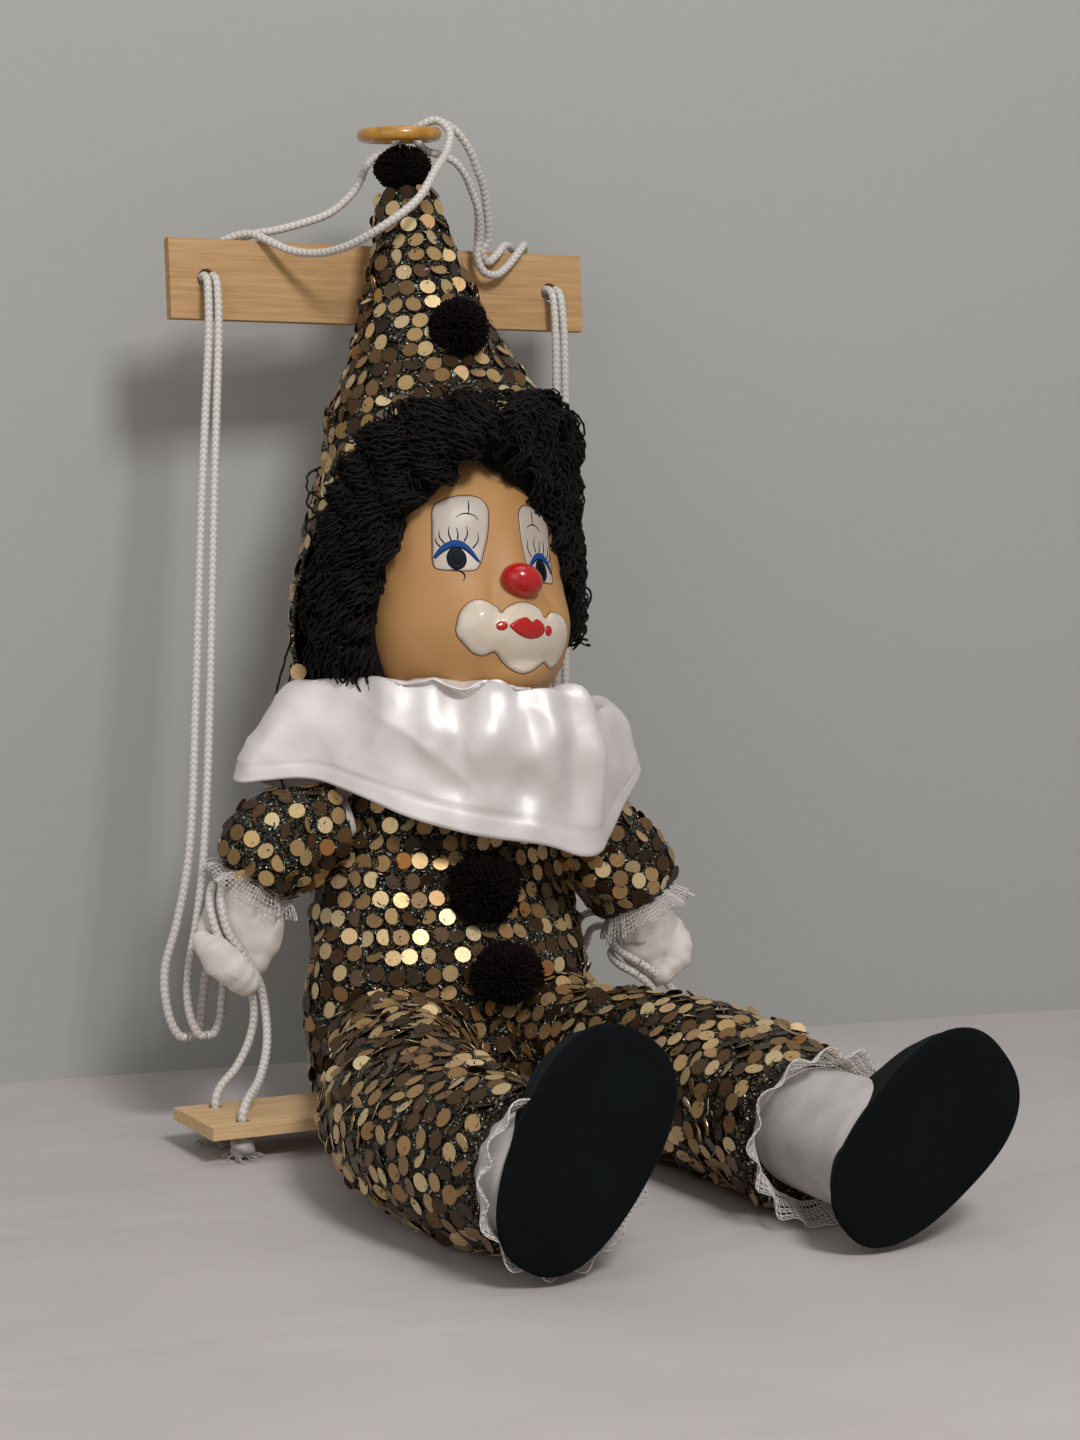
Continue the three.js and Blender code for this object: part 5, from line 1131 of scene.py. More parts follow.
def makeCollar():
    count, rows = 300, 84
    rings = [[collarPlace(i / count, j / rows) * mm for i in range(count)] for j in range(rows + 1)]
    mesh = pullThrough("satinCollar", rings, False)
    collar = newObject("satinCollar", mesh, kit["satin"], "trunk", "collar")
    thick = collar.modifiers.new("cloth", "SOLIDIFY")
    thick.thickness, thick.offset = collarSizes["thickness"] * mm, -1.0
    applied(collar)
    collar.data.polygons.foreach_set("use_smooth", [True] * len(collar.data.polygons))
    hem = sum((closedPoint(collarHem, (i + 1) / 200) - closedPoint(collarHem, i / 200)).length for i in range(200))
    area = sum(face.area for face in collar.data.polygons) / 2
    print("collar hem", round(hem, 1), "mm, cloth", round(area * 1e4, 1), "square cm")
    print("collar made")
    return collar


# ---------- head ----------
headStations = [(2, 12, 12, 13), (5, 23, 26, 20), (13, 32, 34.5, 28), (27, 38, 38, 34), (42, 38.5, 37.5, 37),
                (58, 38, 37, 38), (74, 34, 34, 35), (87, 24, 25, 26), (94, 10, 11, 11)]


def gauss(d):
    return math.exp(-d * d)


def faceRelief(x, z):
    # forehead, sockets, cheeks, mouth roll and chin, in millimetres outwards
    socket = -2.6 * gauss(((abs(x) - 14) / 9)) * gauss((z - 50) / 9)
    lid = 1.9 * gauss(((abs(x) - 14) / 7.5)) * gauss((z - 49) / 6.5)
    bridge = 1.2 * gauss(x / 5) * gauss((z - 50) / 12)
    nose = 2.2 * gauss(x / 7.5) * gauss((z - 40) / 8)
    cheek = 3.0 * gauss((abs(x) - 17) / 10) * gauss((z - 29) / 11)
    muzzle = 3.4 * gauss(x / 13) * gauss((z - 26) / 9)
    crease = -1.3 * gauss((abs(x) - 12 - (34 - z) * 0.25) / 2.6) * gauss((z - 34) / 9)
    chin = 3.2 * gauss(x / 9) * gauss((z - 9) / 6.5)
    dip = -1.6 * gauss(x / 9) * gauss((z - 15.5) / 3.0)
    return socket + lid + bridge + nose + cheek + muzzle + crease + chin + dip


def makeHeadShell():
    count, steps = 180, 130
    rings = []
    for k in range(steps + 1):
        z, wide, front, back = splinePoint(headStations, 1 - (1 - k / steps) ** 1.0)
        ring = oval(z, wide - 0.6, front - 1.6, back - 0.8, 0, 0, count)
        for q in ring:
            if q.y < 0:
                side = q.x / mm
                facing = smooth(0.0, 0.55, -q.y / mm / max(front, 1))
                way = Vector((q.x * 0.25, q.y, 0)).normalized()
                q += way * faceRelief(side, z) * facing * mm
        rings.append([headPose @ q for q in ring])
    head = newObject("headShell", pullThrough("headShell", rings), kit["flesh"], "head", "head")
    return head


def headPoint(tree, x, z, standing=0.0):
    # a point on the face, straight in from the front of the head
    start = headPose @ at(x, -70, z)
    way = (headPose.to_3x3() @ Vector((0, 1, 0))).normalized()
    spot, normal, face, gap = tree.ray_cast(start, way)
    if spot is None:
        spot, normal, face, gap = tree.find_nearest(headPose @ at(x, -20, z))
    return spot + normal * standing * mm


def painted(tree, name, outline, material, height=0.35, step=0.55, domed=0.25, depth=0.5):
    # a brushed shape on the face: a thin patch whose edge follows an outline in face coordinates
    bm = bmesh.new()
    count = len(outline)
    ring = bmesh.ops.create_circle(bm, segments=count, radius=1.0)["verts"]
    ring = sorted(ring, key=lambda q: math.atan2(q.co.y, q.co.x) % (2 * pi))
    mid = Vector((sum(p[0] for p in outline) / count, sum(p[1] for p in outline) / count))
    for q, p in zip(ring, outline):
        q.co = Vector((p[0], p[1], 0))
    edges = bm.edges[:]
    bmesh.ops.triangle_fill(bm, use_beauty=True, edges=edges)
    longEdges = [e for e in bm.edges if e.calc_length() > step * 1.6]
    rounds = 0
    while longEdges and rounds < 7:
        bmesh.ops.subdivide_edges(bm, edges=longEdges, cuts=1, use_grid_fill=False)
        bmesh.ops.triangulate(bm, faces=bm.faces[:])
        longEdges = [e for e in bm.edges if e.calc_length() > step * 1.6 and not e.is_boundary]
        rounds += 1
    made = bmesh.ops.extrude_face_region(bm, geom=bm.faces[:])["geom"]
    upper = {g for g in made if isinstance(g, bmesh.types.BMVert)}
    border = [(Vector(a), Vector(b)) for a, b in zip(outline, outline[1:] + outline[:1])]

    def inside(p):
        best = 1e9
        for a, b in border:
            ab = b - a
            f = min(1, max(0, (p - a).dot(ab) / max(ab.dot(ab), 1e-9)))
            best = min(best, (a + ab * f - p).length)
        return best

    for q in bm.verts:
        flat = q.co.to_2d()
        if q in upper:
            reach = min(1.0, inside(flat) / max(height * 1.6, 0.3))
            rise = height * (0.25 + 0.75 * math.sin(reach * pi / 2)) + domed * min(1.0, inside(flat) / 5)
            q.co = headPoint(tree, flat.x, flat.y, rise)
        else:
            q.co = headPoint(tree, flat.x, flat.y, -depth)
    bmesh.ops.recalc_face_normals(bm, faces=bm.faces)
    piece = newObject(name, meshOf(bm, name), material, "head")
    return piece


def brushLine(tree, name, points, widths, material, height=0.16):
    # a painted line: a flattened tube along a curve on the face
    path, length = evenly([Vector((x, z, 0)) for x, z in points], 0.35)
    rings = []
    for i, p in enumerate(path):
        f = i / (len(path) - 1)
        width = float(splinePoint([[w] for w in widths], f)[0]) / 2
        a, b = path[max(0, i - 1)], path[min(len(path) - 1, i + 1)]
        along = (b - a).normalized()
        side = Vector((-along.y, along.x, 0))
        ring = []
        for k in range(10):
            turn = 2 * pi * k / 10
            spot = p + side * width * math.cos(turn)
            ring.append(headPoint(tree, spot.x, spot.y, height * math.sin(turn)))
        rings.append(ring)
    piece = newObject(name, pullThrough(name, rings), material, "head")
    return piece


def rounded(points, step=0.45):
    # a closed outline through its corners
    out, n = [], len(points)
    total = sum((Vector(points[i]) - Vector(points[(i + 1) % n])).length for i in range(n))
    count = max(24, int(total / step))
    for k in range(count):
        p = closedPoint([(x, z, 0) for x, z in points], k / count)
        out.append((p.x, p.y))
    return out


eyePatch = [(-23.8, 69.5), (-25.3, 62.6), (-26.2, 56.4), (-26.7, 51.3), (-26.0, 48.8), (-22.9, 47.7), (-18.8, 46.9),
            (-15.1, 46.9), (-13.2, 48.5), (-11.1, 52.6), (-9.2, 57.4), (-7.9, 63.0), (-7.2, 67.8), (-8.6, 71.0),
            (-11.6, 72.6), (-15.6, 73.0), (-20.2, 72.2)]
lidBand = [(-26.3, 53.2), (-24.1, 56.1), (-21.6, 57.5), (-19.3, 57.7), (-17.0, 56.6), (-15.0, 54.1), (-13.0, 49.6),
           (-13.9, 49.7), (-15.6, 52.3), (-17.4, 54.3), (-19.6, 55.2), (-21.4, 55.1), (-24.0, 53.9), (-25.9, 52.2)]
eyeLashes = [((-24.3, 56.1), (-25.1, 57.8), (-24.9, 59.3)), ((-23.0, 57.0), (-24.0, 59.5), (-23.7, 61.7)),
             ((-20.9, 57.7), (-21.3, 60.3), (-20.8, 62.7)), ((-17.0, 56.9), (-15.6, 59.4), (-15.7, 62.2)),
             ((-14.5, 54.4), (-12.4, 56.8), (-12.2, 59.6)), ((-18.9, 57.8), (-18.6, 60.0), (-18.9, 62.0))]
browLines = [((-13.2, 71.0), (-13.7, 68.5), (-14.4, 65.9)), ((-18.4, 65.4), (-16.4, 66.4), (-14.3, 66.3), (-12.4, 65.3), (-11.5, 63.8))]
tearCurl = [(-22.6, 48.0), (-21.1, 47.6), (-19.5, 46.9), (-18.5, 45.3), (-19.3, 43.5)]
eyeIris = {"centre": (-20.1, 51.4), "across": 3.0, "high": 3.9}
mouthShape = [(-24.1, 28.4), (-22.8, 32.7), (-20.2, 35.4), (-17.0, 36.4), (-13.5, 35.3), (-11.2, 33.3), (-10.5, 31.2),
              (-8.3, 32.8), (-4.0, 34.2), (0.2, 33.9), (4.0, 32.1), (6.2, 28.8), (9.6, 30.6), (14.0, 30.6), (17.4, 28.0),
              (19.2, 23.4), (18.6, 18.2), (15.6, 14.2), (12.0, 12.8), (8.2, 14.4), (5.3, 13.2), (0.9, 11.4),
              (-2.6, 11.0), (-5.8, 12.4), (-8.9, 15.0), (-12.6, 18.6), (-15.9, 17.9), (-18.9, 19.0), (-21.8, 22.1),
              (-23.8, 25.3)]
lipShape = [(-9.7, 26.4), (-7.7, 27.7), (-5.3, 28.6), (-3.0, 28.8), (-1.0, 27.3), (0.8, 28.1), (3.0, 27.3), (4.5, 25.5),
            (4.2, 23.6), (2.2, 22.1), (-1.0, 21.6), (-4.0, 22.2), (-6.7, 23.5), (-8.7, 25.1)]
# outline of a dark brown patch on the forehead, under the fringe at one side
underFringeShape = [(-1.6, 88), (2.1, 87), (6.9, 82), (13.6, 79), (19, 74), (18.5, 70.5), (14.5, 72), (10.5, 73.3), (3.9, 77), (-0.2, 81)]
noseSizes = {"centre": (-1.3, -39.4, 41.8), "radii": (7.5, 6.6, 5.8), "roll": 20}


def mirrored(p):
    # across the face's own middle line, which leans a little to one side
    turn = math.radians(9.5)
    middle = Vector((-4.1, 48.7))
    across = Vector((math.cos(turn), -math.sin(turn)))
    v = Vector(p) - middle
    return tuple(middle + v - 2 * v.dot(across) * across)


def ovalOutline(centre, across, high, count=28, roll=0.0):
    turn = math.radians(roll)
    return [(centre[0] + across * math.cos(a) * math.cos(turn) - high * math.sin(a) * math.sin(turn),
             centre[1] + across * math.cos(a) * math.sin(turn) + high * math.sin(a) * math.cos(turn))
            for a in (2 * pi * k / count for k in range(count))]


def closedLine(points):
    ring = rounded(points, 0.8)
    return ring + [ring[0]]


def makeFace(head):
    skin = treeOf(head.data)
    for side, way in (("Right", lambda p: p), ("Left", mirrored)):
        patch = [way(p) for p in eyePatch]
        painted(skin, "eyePatch" + side, rounded(patch), kit["whitePaint"], 0.12, 0.9, 0.15)
        brushLine(skin, "eyeEdge" + side, closedLine(patch), (0.4, 0.5, 0.35, 0.5, 0.4), kit["linePaint"], 0.14)
        over = treeOf(bpy.data.objects["eyePatch" + side].data)
        iris = way(eyeIris["centre"])
        painted(over, "iris" + side, ovalOutline(iris, eyeIris["across"], eyeIris["high"]), kit["irisPaint"], 0.12, 0.6, 0.0, 0.1)
        painted(over, "pupil" + side, ovalOutline((iris[0] + 0.3, iris[1] + 0.3), 1.9, 2.5, 24), kit["darkPaint"], 0.2, 0.5, 0.0, 0.05)
        # a pale spot on the iris: a painted highlight
        painted(over, "glint" + side, ovalOutline((iris[0] + 0.1, iris[1] - 0.6), 0.36, 0.42, 16), kit["glintPaint"], 0.3, 0.5, 0.0, 0.0)
        painted(over, "lid" + side, rounded([way(p) for p in lidBand], 0.35), kit["bluePaint"], 0.2, 0.5, 0.0, 0.08)
        brushLine(over, "lidLine" + side, [way(p) for p in lidBand[7:]], (0.25, 0.45, 0.35, 0.2), kit["darkPaint"], 0.26)
        for k, lash in enumerate(eyeLashes):
            brushLine(over, "lash" + side + str(k), [way(p) for p in lash], (0.5, 0.38, 0.14), kit["darkPaint"], 0.16)
        for k, line in enumerate(browLines):
            brushLine(over, "brow" + side + str(k), [way(p) for p in line], (0.2, 0.46, 0.2), kit["darkPaint"], 0.16)
        brushLine(skin, "tearCurl" + side, [way(p) for p in tearCurl], (0.14, 0.4, 0.6, 0.45, 0.15), kit["darkPaint"], 0.2)
    painted(skin, "mouthPatch", rounded(mouthShape), kit["creamPaint"], 0.8, 0.9, 0.8)
    brushLine(skin, "mouthEdge", closedLine(mouthShape), (0.5, 0.65, 0.45, 0.6, 0.5), kit["linePaint"], 0.22)
    over = treeOf(bpy.data.objects["mouthPatch"].data)
    painted(over, "lips", rounded(lipShape, 0.35), kit["redPaint"], 0.35, 0.6, 0.5, 0.1)
    painted(over, "lipDotRight", ovalOutline((-12.1, 26.6), 1.9, 1.6), kit["redPaint"], 0.3, 0.5, 0.2, 0.1)
    painted(over, "lipDotLeft", ovalOutline((6.4, 24.2), 1.7, 1.8), kit["redPaint"], 0.3, 0.5, 0.2, 0.1)
    # a dark brown patch on the forehead along the hairline, under the fringe
    painted(skin, "hairlineWash", rounded(underFringeShape), kit["brownWash"], 0.1, 0.9, 0.0)
    turn = Matrix.Rotation(math.radians(noseSizes["roll"]), 4, "Y")
    bm = bmesh.new()
    bmesh.ops.create_uvsphere(bm, u_segments=48, v_segments=32, radius=1.0,
                              matrix=headPose @ Matrix.Translation(at(*noseSizes["centre"])) @ turn
                              @ Matrix.Diagonal((*[r * mm for r in noseSizes["radii"]], 1.0)))
    nose = newObject("clownNose", meshOf(bm, "clownNose"), kit["redPaint"], "head")
    print("face made")


# ---------- wig ----------
wigStations = [   # height, half width, front, back, middle y
    (9, 44, 6, 42, 4), (20, 51, 22, 46, 5), (38, 53, 33, 46, 5), (60, 52, 40, 43, 4), (80, 51, 44, 38, 3),
    (95, 50, 48, 36, 2), (104, 45, 44, 34, 2), (106, 41, 40, 30, 2)]
wigSizes = {"strand": 0.46, "lanes": 9, "strands": 20, "wave": 15.0, "sway": 2.6, "bounce": 3.0, "curls": 300, "seed": 71, "parting": -97}
faceEdge = {   # height, degrees from the parting to the hair's edge at either side of the face
    -1: [(8, 53), (20, 55), (34, 53), (57, 40), (68, 32), (72, 21), (78, 14), (86, 2), (87, 0)],
    1: [(8, 57), (22, 53), (40, 40.5), (58, 30), (68, 23), (72, 17), (77.5, 8), (86, 1), (87, 0)]}
hoodSide = {   # height, degrees from the parting to the edge of the hood
    -1: [(10, 117), (30, 115), (50, 108), (66, 91), (78, 79), (92, 67), (103, 46), (106, 18)],
    1: [(10, 131), (30, 129), (50, 125), (66, 112), (78, 101), (92, 89), (103, 67), (106, 37)]}
laneEdges = {   # first and last lane of locks from the parting to the ends, degrees from the parting and height
    -1: ([(-5, 91), (9, 89), (18, 82), (27, 77), (37, 73), (46, 61), (57, 42), (60, 26), (58, 9)],
         [(-5, 103), (20, 103), (45, 101), (62, 91), (74, 79), (85, 66), (102, 48), (110, 28), (112, 10)]),
    1: ([(-4, 91), (7, 88), (15, 81), (25, 75), (32, 68), (40, 56), (50, 41), (61, 29), (65, 22)],
        [(-4, 103), (30, 103), (60, 101), (85, 91), (98, 79), (108, 66), (118, 48), (122, 32), (124, 24)])}


def wigPlace(turn, z, inset=0.0):
    z = min(max(z, 9.0), 106.0)
    t = 0.0
    for i in range(len(wigStations) - 1):
        a, b = wigStations[i], wigStations[i + 1]
        if a[0] <= z <= b[0]:
            t = (i + (z - a[0]) / (b[0] - a[0])) / (len(wigStations) - 1)
            break
    _, wide, front, back, y = splinePoint(wigStations, t)
    deep = front if math.sin(turn) < 0 else back
    return Vector(((wide - inset) * math.cos(turn), y + (deep - inset) * math.sin(turn), z))


def headRadius(z):
    low = min(headStations, key=lambda row: abs(row[0] - z))
    return min(low[1], low[2])


def mopPlace(turn, z):
    # the mop under the locks: flat inside the head in front of the face and kept under the hood behind
    p = wigPlace(turn, z, 6.0)
    apart = (math.degrees(turn) - wigSizes["parting"] + 180) % 360 - 180
    side = -1 if apart < 0 else 1
    bare = float(np.interp(z, *zip(*faceEdge[side]))) - abs(apart) if z < 87 else -20
    inside = smooth(-12, -5, bare)
    if side > 0:
        inside = max(inside, smooth(28, 22, z))
    behind = smooth(-6, 3, abs(apart) - float(np.interp(z, *zip(*hoodSide[side]))))
    reach = p.to_2d().length
    limit = float(np.interp(z, *zip(*flapStations))) - 4.0 if z < 91 else 36.0
    wanted = reach + (min(reach, limit) - reach) * behind
    wanted += (headRadius(z) * 0.8 - wanted) * inside
    wanted += 1.0 * noise.noise(p * 0.16) * (1 - inside) * (1 - behind)
    return Vector((p.x * wanted / reach, p.y * wanted / reach, p.z))


def lockLine(side, share, inset, rng):
    # the middle line of one lock: a row of surface places with their outward directions
    inner, outer = laneEdges[side]
    length = rng.uniform(0.93, 1.0)
    start = rng.uniform(0.0, 0.05)
    count = 130
    line = []
    for k in range(count + 1):
        t = start + (length - start) * k / count
        a, b = splinePoint(inner, t), splinePoint(outer, t)
        apart = (a[0] + (b[0] - a[0]) * share) * side
        z = a[1] + (b[1] - a[1]) * share
        drift = noise.noise_vector(Vector((apart * 0.035, z * 0.05, inset + share * 2.5)))
        apart, z = apart + drift.x * 5.5 * smooth(0.0, 0.15, share), z + drift.y * 3.0
        turn = math.radians(wigSizes["parting"] + apart)
        line.append(wigPlace(turn, z, inset))
    return line


def makeWig(head):
    rng = random.Random(wigSizes["seed"])
    rings = [[headPose @ (mopPlace(2 * pi * i / 180, 11 + 93 * k / 70) * mm) for i in range(180)] for k in range(71)]
    mop = newObject("wigMop", pullThrough("wigMop", rings), kit["yarn"], "head", "wig")
    for side, label in ((-1, "Right"), (1, "Left")):
        for layer, inset in (("Under", 5.5), ("Upper", 2.6)):
            strands = []
            for lane in range(wigSizes["lanes"]):
                share = (lane + (0.5 if layer == "Under" else 0.15) + rng.uniform(-0.2, 0.2)) / (wigSizes["lanes"] - 0.4)
                share = min(max(share, 0.0), 1.0)
                line = lockLine(side, share, inset, rng)
                wave = wigSizes["wave"]
                for j in range(wigSizes["strands"]):
                    angle, apart = 2.4 * j, math.sqrt((j + 0.5) / wigSizes["strands"])
                    put = Vector((4.0 * apart * math.cos(angle), 2.1 * apart * math.sin(angle)))
                    slip, stop = rng.gauss(0, 0.45), int(len(line) * rng.uniform(0.88, 1.0))
                    run, points = 0.0, []
                    for k in range(int(len(line) * rng.uniform(0.0, 0.04)), stop):
                        here, after = line[k], line[min(k + 1, len(line) - 1)]
                        before = line[max(k - 1, 0)]
                        run += (here - before).length
                        way = (after - before).normalized()
                        out = Vector((here.x, here.y, 0)).normalized()
                        across = way.cross(out).normalized()
                        lift = across.cross(way)
                        beat = 2 * pi * run / wave + 2.6 * share + 4.5 * noise.noise(here * 0.035) + slip
                        twist = 0.7 * math.sin(run * 0.11 + lane)
                        dx = put.x * math.cos(twist) - put.y * math.sin(twist)
                        dy = put.x * math.sin(twist) + put.y * math.cos(twist)
                        frizz = noise.noise_vector(here * 0.32 + Vector((j * 3.1, lane * 7.7, inset))) * 1.3 \
                            + noise.noise_vector(here * 1.1 + Vector((j * 5.3, lane, inset))) * 0.55
                        crimp = 2 * pi * run / 3.9 + j * 1.7
                        p = here + across * (dx + wigSizes["sway"] * math.sin(beat) + 0.45 * math.sin(crimp)) \
                            + lift * (dy + wigSizes["bounce"] * math.cos(beat + 0.6) + 0.35 * math.cos(crimp)) + frizz
                        curl = smooth(0.9, 1.0, k / len(line))
                        p -= out * 4.0 * curl ** 2
                        points.append(p)
                    strands.append((points, wigSizes["strand"] * rng.uniform(0.85, 1.15)))
            tubes("wigLocks" + label + layer, strands)
    tubes("wigCurls", looseCurls(rng))
    tubes("wigLoops", looseLoops(rng))
    print("wig made")


def looseCurls(rng):
    # small springy curls over the locks
    out = []
    while len(out) < wigSizes["curls"]:
        side = rng.choice((-1, 1))
        line = lockLine(side, rng.uniform(0.02, 1.0), 0.6, rng)
        start = rng.randrange(4, 114)
        turns, radius, hand = rng.uniform(1.5, 4.0), rng.uniform(1.1, 2.1), rng.choice((-1, 1))
        span, points, slant = rng.uniform(8, 13), [], rng.uniform(-0.7, 0.7)
        for k in range(int(turns * 10)):
            f = k / (turns * 10)
            here, after = line[min(start + int(f * span), 129)], line[min(start + int(f * span) + 1, 130)]
            here = here.lerp(after, f * span % 1.0)
            way, out0 = (after - line[max(start - 3, 0)]).normalized(), Vector((here.x, here.y, 0)).normalized()
            across = way.cross(out0).normalized()
            swirl = 2 * pi * hand * turns * f
            points.append(here + across * (radius * math.cos(swirl) + slant * f * span) + out0 * radius * 0.8 * math.sin(swirl)
                          + noise.noise_vector(here * 0.8) * 0.5)
        out.append((points, wigSizes["strand"] * 0.85))
    return out


def looseLoops(rng):
    # strands that stand clear of the mop at both sides
    aside, up = Vector((0.788, -0.615, 0)), Vector((0, 0, 1))
    out = []
    for turn0, z0, size in ((-38, 97, 6.5), (-30, 93, 5.5), (-40, 88, 5), (-34, 68, 3.5), (-36, 60, 3), (-40, 44, 4), (-42, 34, 3.5),
                            (-44, 26, 3), (180, 84, 5), (176, 78, 4), (172, 70, 3.5)):
        base = wigPlace(math.radians(turn0), z0, 2.0)
        outward = Vector((base.x, base.y, 0)).normalized()
        grow = rng.uniform(0.8, 1.3)
        points = []
        for k in range(25):
            a = pi * (k / 24) * 1.15 - 0.2
            points.append(base + outward * size * grow * math.sin(a) + up * size * math.cos(a)
                          + noise.noise_vector(base + up * k * 0.4) * 0.8)
        out.append((points, 0.42))
    root = wigPlace(math.radians(151), 40, 1.0)
    for places in (((2, 12), (-3, 2), (-7, -7), (-10, -14), (-13, -22), (-13.5, -25), (-11, -24), (-8, -18), (-7, -13)),
                   ((0, -20), (-6, -27), (-9.5, -33), (-13, -40), (-15, -47), (-15.5, -52), (-13.5, -58)),
                   ((1, -8), (-4, -17), (-6.5, -24), (-7, -30))):
        line = [root + aside * splinePoint(places, k / 40)[0] + up * splinePoint(places, k / 40)[1] for k in range(41)]
        out.append(([p + noise.noise_vector(p * 0.4) * 0.5 for p in line], 0.4))
    return out


def tubes(name, strands):
    # many yarns as one piece, each a round bar along its own line in the head's frame
    curve = bpy.data.curves.new(name, "CURVE")
    curve.dimensions, curve.bevel_depth, curve.bevel_resolution, curve.use_fill_caps = "3D", mm, 0, True
    for points, radius in strands:
        spline = curve.splines.new("POLY")
        spline.points.add(len(points) - 1)
        spline.points.foreach_set("co", [c for p in points for c in (*(headPose @ (p * mm)), 1.0)])
        thin = [radius * (0.5 if k in (0, len(points) - 1) else 1 + 0.12 * math.sin(k * 2.1)) for k in range(len(points))]
        spline.points.foreach_set("radius", thin)
    drawn = bpy.data.objects.new(name + "Line", curve)
    bpy.context.scene.collection.objects.link(drawn)
    mesh = bpy.data.meshes.new_from_object(drawn.evaluated_get(bpy.context.evaluated_depsgraph_get()))
    bpy.data.objects.remove(drawn)
    mesh.name = name
    mesh.materials.clear()
    piece = newObject(name, mesh, kit["yarn"], "head")
    return piece


# ---------- hood: hat, back panel and pompoms ----------
hatProfile = [(42, 92), (40, 100), (36.5, 112), (29, 127), (22, 144), (17.5, 158), (13.5, 174), (10.5, 187)]
flapStations = [(14, 58), (30, 59.5), (48, 57), (66, 52), (80, 46.5), (91.65, 42.5)]
hoodEdge = [(14, 60), (30, 62), (50, 66), (60, 72), (70, 82), (80, 94), (92, 112)]   # height, half spread about the back


def makeHat():
    count = 120
    rings = []
    for k in range(81):
        r, z = splinePoint(hatProfile, k / 80)
        ring = []
        for i in range(count):
            turn = 2 * pi * i / count
            fold = 0.5 * noise.noise(Vector((math.cos(turn) * 2, math.sin(turn) * 2, z * 0.09)))
            rim = 1 - 0.02 * smooth(6, 0, z - 92)
            ring.append(headPose @ at((r - 0.6 + fold) * math.cos(turn) * rim, (r - 0.6 + fold) * math.sin(turn) * rim, z))
        rings.append(ring)
    inner = []
    for k in range(4):
        r, z = splinePoint(hatProfile, 0.02 * (3 - k))
        inner.append([headPose @ at((r - 3) * math.cos(2 * pi * i / count), (r - 3) * math.sin(2 * pi * i / count), z + 0.3)
                      for i in range(count)])
    mesh = pullThrough("hat", [[headPose @ at(20 * math.cos(2 * pi * i / count), 20 * math.sin(2 * pi * i / count), 94)
                                for i in range(count)]] + rings)
    hat = newObject("sequinHat", mesh, kit["knit"], "head", "hat", "hat_stuffing")
    sew("hat", treeOf(mesh), rings, "head", 61, offset=0.5)
    rings = []
    steps, wide = 46, 64
    outline = []
    for k in range(steps + 1):
        z, out = splinePoint(flapStations, k / steps)
        row = []
        for i in range(wide + 1):
            spread = float(np.interp(z, *zip(*hoodEdge)))
            turn = pi / 2 + math.radians(spread) * (2 * i / wide - 1)
            wave = 0.8 * math.sin(turn * 9 + z * 0.05) * smooth(70, 20, z)
            row.append(((out - 0.6 + wave) * math.cos(turn), (out - 0.6 + wave) * math.sin(turn), z))
        outline.append(row)
    for k, row in enumerate(outline):
        outer = [headPose @ at(*p) for p in row]
        inside = [headPose @ at(p[0] * (1 - 1.3 / max(math.hypot(p[0], p[1]), 1)), p[1] * (1 - 1.3 / max(math.hypot(p[0], p[1]), 1)), p[2])
                  for p in reversed(row)]
        rings.append(outer + inside)
    mesh = pullThrough("hoodPanel", rings)
    panel = newObject("hoodPanel", mesh, kit["knit"], "head", "hat_back_flap")
    outside = [ring[:wide + 1] for ring in rings]
    sewSheet("hoodPanel", treeOf(mesh), outside, "head", 62)
    print("hat made")


def sewSheet(name, tree, rows, body, seed):
    # the same discs and tinsel on an open panel
    rng = random.Random(seed)
    places, marks, strips, stripMarks = [], [], [], []
    for pitch, rowStep, into, notes, tilt, standing, jitter in (
            (sequinSizes["pitch"], sequinSizes["row"], places, marks, 15, 0.5, 0.5), (2.6, 2.6, strips, stripMarks, 40, 0.25, 1.2)):
        columnLength = sum((rows[k + 1][len(rows[0]) // 2] - rows[k][len(rows[0]) // 2]).length for k in range(len(rows) - 1)) / mm
        for r in range(int(columnLength / rowStep) + 1):
            f = (r + 0.5) * rowStep / columnLength * (len(rows) - 1)
            if f >= len(rows) - 1:
                continue
            k = int(f)
            row = [a.lerp(b, f - k) for a, b in zip(rows[k], rows[k + 1])]
            width = sum((row[i + 1] - row[i]).length for i in range(len(row) - 1)) / mm
            for c in range(int(width / pitch)):
                g = (c + 0.5 + 0.5 * (r % 2)) * pitch / width * (len(row) - 1)
                if g >= len(row) - 1.2:
                    continue
                i = int(g)
                place = row[i].lerp(row[i + 1], g - i) + Vector([rng.uniform(-1, 1) for _ in range(3)]) * jitter * mm
                spot, normal, face, gap = tree.find_nearest(place)
                lean = normal.orthogonal().normalized()
                lean.rotate(Matrix.Rotation(rng.uniform(0, 2 * pi), 3, normal))
                up = Matrix.Rotation(math.radians(rng.gauss(0, tilt)), 3, lean) @ normal
                turn = up.to_track_quat("Z", "Y").to_matrix() @ Matrix.Rotation(rng.uniform(0, 2 * pi), 3, "Z")
                into.append(Matrix.Translation(spot + normal * standing * mm) @ turn.to_4x4())
                notes.append((rng.random(), rng.random()))
    discs = copies(name + "Sequins", disc, places, kit["sequin"], body, marks=marks)
    discs.data.polygons.foreach_set("use_smooth", [False] * len(discs.data.polygons))
    sparkle = copies(name + "Tinsel", strip, strips, kit["tinsel"], body, marks=stripMarks)


def pileShape():
    bm = bmesh.new()
    bmesh.ops.create_cone(bm, cap_ends=True, segments=4, radius1=0.5, radius2=0.28, depth=1.0)
    bmesh.ops.translate(bm, verts=bm.verts, vec=(0, 0, 0.5))
    return meshOf(bm, "pileShape")


pile = pileShape()


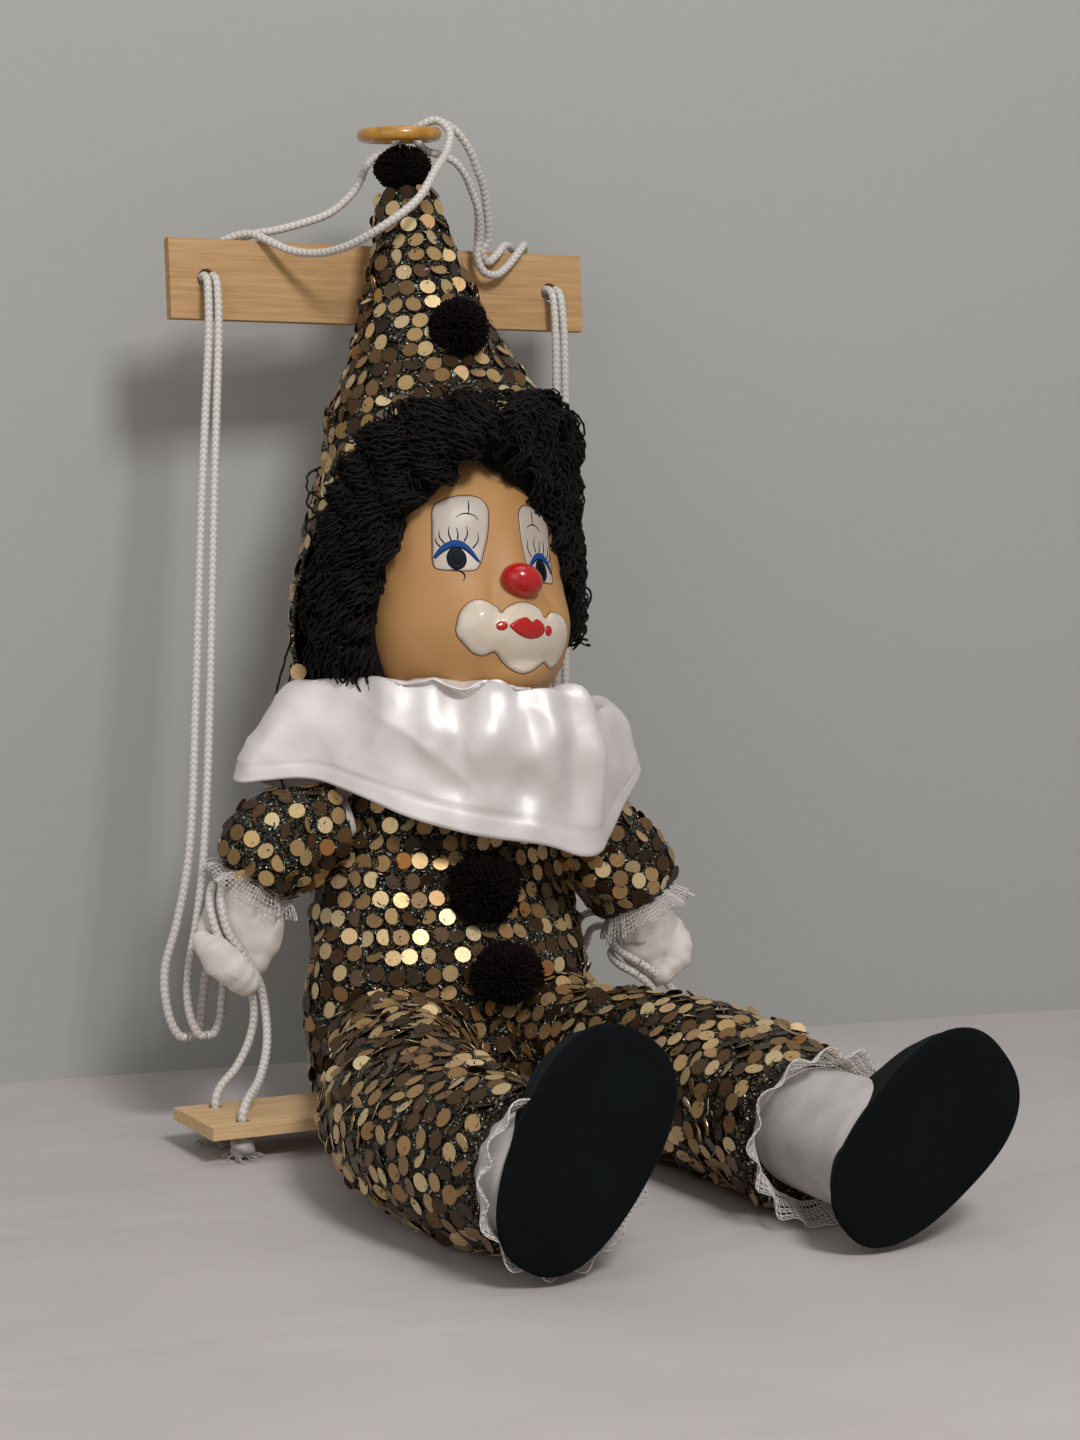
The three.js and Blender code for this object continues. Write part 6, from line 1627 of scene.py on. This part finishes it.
def makePompom(name, node, body, centre, radii, count, seed, turn=Matrix.Identity(4), core=0.72, reach=1.0, flatten=None, taper=0.0):
    # short yarn ends standing out of a ball on all sides
    rng = random.Random(seed)
    bm = bmesh.new()
    bmesh.ops.create_icosphere(bm, subdivisions=4, radius=1.0)
    for q in bm.verts:
        q.co = turn @ (at(*centre) + Vector([c * r * core * (1 + 0.12 * noise.noise(q.co * 3)) * mm for c, r in zip(q.co, radii)]))
    base = newObject(name + "Core", meshOf(bm, name + "Core"), kit["pile"], body, node)
    places, marks = [], []
    for k in range(count):
        z = 1 - 2 * (k + 0.5) / count
        a = k * 2.399963
        way = Vector((math.sqrt(max(0, 1 - z * z)) * math.cos(a), math.sqrt(max(0, 1 - z * z)) * math.sin(a), z))
        way = (way + Vector([rng.gauss(0, 0.16) for _ in range(3)])).normalized()
        tip = Vector([c * r for c, r in zip(way, radii)]) * rng.uniform(0.9, 1.0) * reach
        root = tip * 0.55
        stretch = tip - root
        if taper:
            below = smooth(0.35, -1.0, tip.z / radii[2])
            tip, root = (Vector((q.x * (1 - taper * below), q.y * (1 - taper * below), q.z)) for q in (tip, root))
            stretch = tip - root
        if flatten and flatten(turn @ (at(*centre) + tip * mm)):
            continue
        m = Matrix.Translation(turn @ (at(*centre) + root * mm)) @ (turn.to_3x3() @ stretch).to_track_quat("Z", "Y").to_matrix().to_4x4()
        places.append(m @ Matrix.Diagonal((0.95 * mm, 0.95 * mm, stretch.length * mm, 1)))
        marks.append((rng.random(), rng.random()))
    ends = copies(name + "Pile", pile, places, kit["pile"], body, marks=marks)


def makePompoms():
    makePompom("tipPompom", "hat_tip_pompom", "head", (0.4, 0.3, 196), (11.0, 11.0, 9.4), 1600, 81, headPose, taper=0.35)
    makePompom("frontPompom", "hat_front_pompom", "head", (-7, -30, 131), (10.8, 10.8, 10.8), 1700, 82, headPose)
    makePompom("chestPompomUpper", "chest_pompom_upper", "trunk", (1, -41.5, 83), (12.8, 12.8, 12.8), 2300, 83)
    makePompom("chestPompomLower", "chest_pompom_lower", "trunk", (2.6, -56, 54.5), (12.8, 12.8, 12.8), 2300, 84,
               flatten=lambda tip: tip.z < (50.0 + 0.12 * (tip.x / mm - 2.6)) * mm and tip.y < -44 * mm)
    print("pompoms made")


makeCords()
makeSwing()
makeTrunk()
for side, plan in armPlan.items():
    makeSleeve(side, plan)
    makeArm(side, plan)
for side, plan in legPlan.items():
    makeTrouser(side, plan)
    makeLeg(side, plan)
makeLaces()
makeCollar()
head = makeHeadShell()
makeFace(head)
makeWig(head)
makeHat()
makePompoms()
